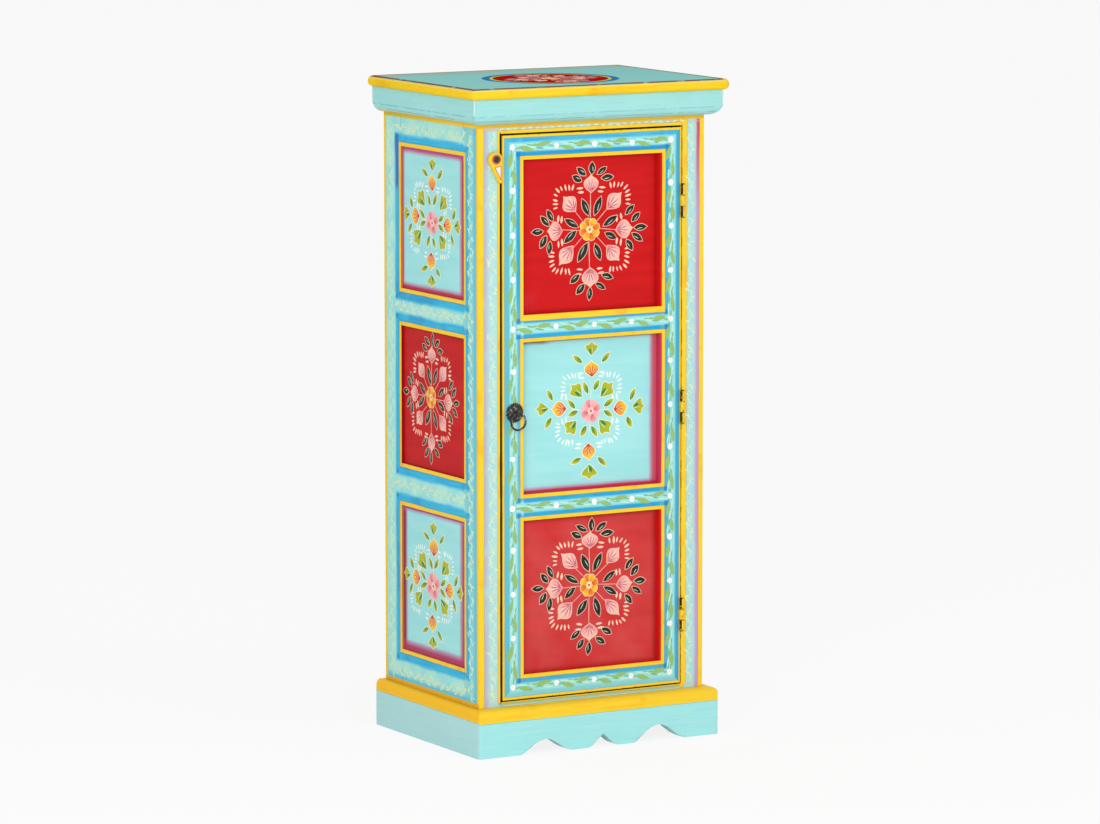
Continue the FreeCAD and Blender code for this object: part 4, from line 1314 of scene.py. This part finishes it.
def lay_bouquets():
    """A bouquet on each panel and on the top board."""
    for index, (place, gap) in enumerate(DOOR_GAPS.items()):
        aside, raised = DOOR_PLACES[place]
        middle = (LATCH_STILE_X + HINGE_STILE_X) / 2
        centre = (middle + aside, low("door_" + place + "_panel").y, sum(gap) / 2 + raised)
        lay_bouquet("door", place, 41 + index, "door", centre, (1, 0, 0))
    for side, whose, reach in ((-1, "left", low), (1, "right", high)):
        for index, (place, gap) in enumerate(SIDE_GAPS.items()):
            backwards, raised, *spread = SIDE_PLACES[place]
            face = reach(whose + "_" + place + "_panel").x
            centre = (face, (PANELS_FRONT + PANELS_BACK) / 2 + backwards, sum(gap) / 2 + raised)
            lay_bouquet(
                whose, place, 51 + index + 10 * side, "carcass", centre, (0, side, 0), (*spread, 1),
                size=1.12, wide=(1.38, 1.14))
    centre = (*MEDALLION_PLACE, TOP_FACE)
    red_bouquet(71, lashed=False).lay(
        "top_bouquet", "carcass", "top_paint", centre, (1, 0, 0), (0, 1, 0), (0.8, 0.8, 0.4))


# The photograph's own view, from fitting its perspective: which way it looks, how far off it stands,
# how far its aim lies from the cabinet's middle, and its lens.
VIEW_YAW = radians(29.68)
VIEW_PITCH = radians(7.73)
VIEW_DISTANCE = 7856
VIEW_MIDDLE = Vector((0, 12.65, 450))
VIEW_ASIDE = 9.2
VIEW_UP = -10.5
FOCAL_PIXELS = 5740
PHOTO_WIDTH = 1100
SENSOR = 36


def place_camera():
    forward = Vector((sin(VIEW_YAW) * cos(VIEW_PITCH), cos(VIEW_YAW) * cos(VIEW_PITCH), -sin(VIEW_PITCH)))
    right = Vector((cos(VIEW_YAW), -sin(VIEW_YAW), 0))
    up = right.cross(forward)
    aim = right * VIEW_ASIDE + up * VIEW_UP + VIEW_MIDDLE
    bpy.ops.object.camera_add()
    camera = bpy.context.active_object
    camera.name = "photo_camera"
    camera.matrix_world = Matrix((right, up, -forward)).transposed().to_4x4()
    camera.location = (aim - forward * VIEW_DISTANCE) * MM
    camera.data.lens = FOCAL_PIXELS / PHOTO_WIDTH * SENSOR
    camera.data.sensor_width = SENSOR
    camera.data.clip_end = 100
    bpy.context.scene.camera = camera


def looked_at(wires):
    """1 for what the camera, a reflection or glass shows, 0 for light on the cabinet."""
    outputs = wires.node("LightPath").socket.node.outputs
    rays = [Wire(wires.tree, outputs["Is %s Ray" % kind]) for kind in ("Camera", "Glossy", "Transmission")]
    return reduce(Wire.higher, rays)


def lay_floor():
    """A pale floor that looks nearly white, with the cabinet's soft shadow."""
    deselect()
    bpy.ops.mesh.primitive_plane_add(size=70)
    floor = bpy.context.active_object
    floor.name = "floor"
    material = bpy.data.materials.new("pale floor")
    material.use_nodes = True
    tree = material.node_tree
    wires = Wire(tree)
    matt = wires.node("BsdfDiffuse", {"Color": "F4F4F2"})
    glow = wires.node("Emission", {"Color": "FFFFFF", "Strength": 1})
    white = wires.node("MixShader", {0: looked_at(wires) * 0.86, 1: matt, 2: glow})
    tree.links.new(white.socket, tree.nodes["Material Output"].inputs["Surface"])
    floor.data.materials.append(material)


def light_scene():
    """Even studio light, strongest on the front and left, and a white surround."""
    bpy.context.scene.view_settings.view_transform = "Standard"
    world = bpy.data.worlds.new("studio")
    bpy.context.scene.world = world
    world.use_nodes = True
    tree = world.node_tree
    light = tree.nodes["Background"].inputs
    light["Color"].default_value = (1, 1, 1, 1)
    tree.links.new((looked_at(Wire(tree)) * (1 - AMBIENT) + AMBIENT).socket, light["Strength"])
    for name, azimuth, elevation, power, size in LAMPS:
        yaw, pitch = radians(azimuth), radians(elevation)
        away = Vector((sin(yaw) * cos(pitch), -cos(yaw) * cos(pitch), sin(pitch)))
        bpy.ops.object.light_add(type="AREA")
        lamp = bpy.context.active_object
        lamp.name = name
        lamp.data.energy = power
        lamp.data.shape = "DISK"
        lamp.data.size = size
        lamp.location = Vector((0, 0, 0.45)) + away * LAMP_DISTANCE
        lamp.rotation_euler = away.to_track_quat("Z", "Y").to_euler()


# Strength of the surround's light, how far off the lamps stand in metres, and the lamps: azimuth from
# the front to the right, elevation, watts and size in metres.
AMBIENT = 0.66
LAMP_DISTANCE = 3
LAMPS = (("key_lamp", -38, 14, 34, 2.2), ("fill_lamp", 30, 18, 10, 2.2))


place_camera()
lay_floor()
light_scene()
paint_carcass()
paint_door()
paint_panels()
paint_hardware()
run_cornice()
round_top_board()
scallop_plinth()
forge_pull()
FLOWER_PAINTS = brushed_colours()
STROKES = make_strokes()
door_garland()
post_vines()
side_vines("left_vines", -1)
side_vines("right_vines", 1)
lay_bouquets()
for stroke in STROKES.values():
    bpy.data.objects.remove(stroke)
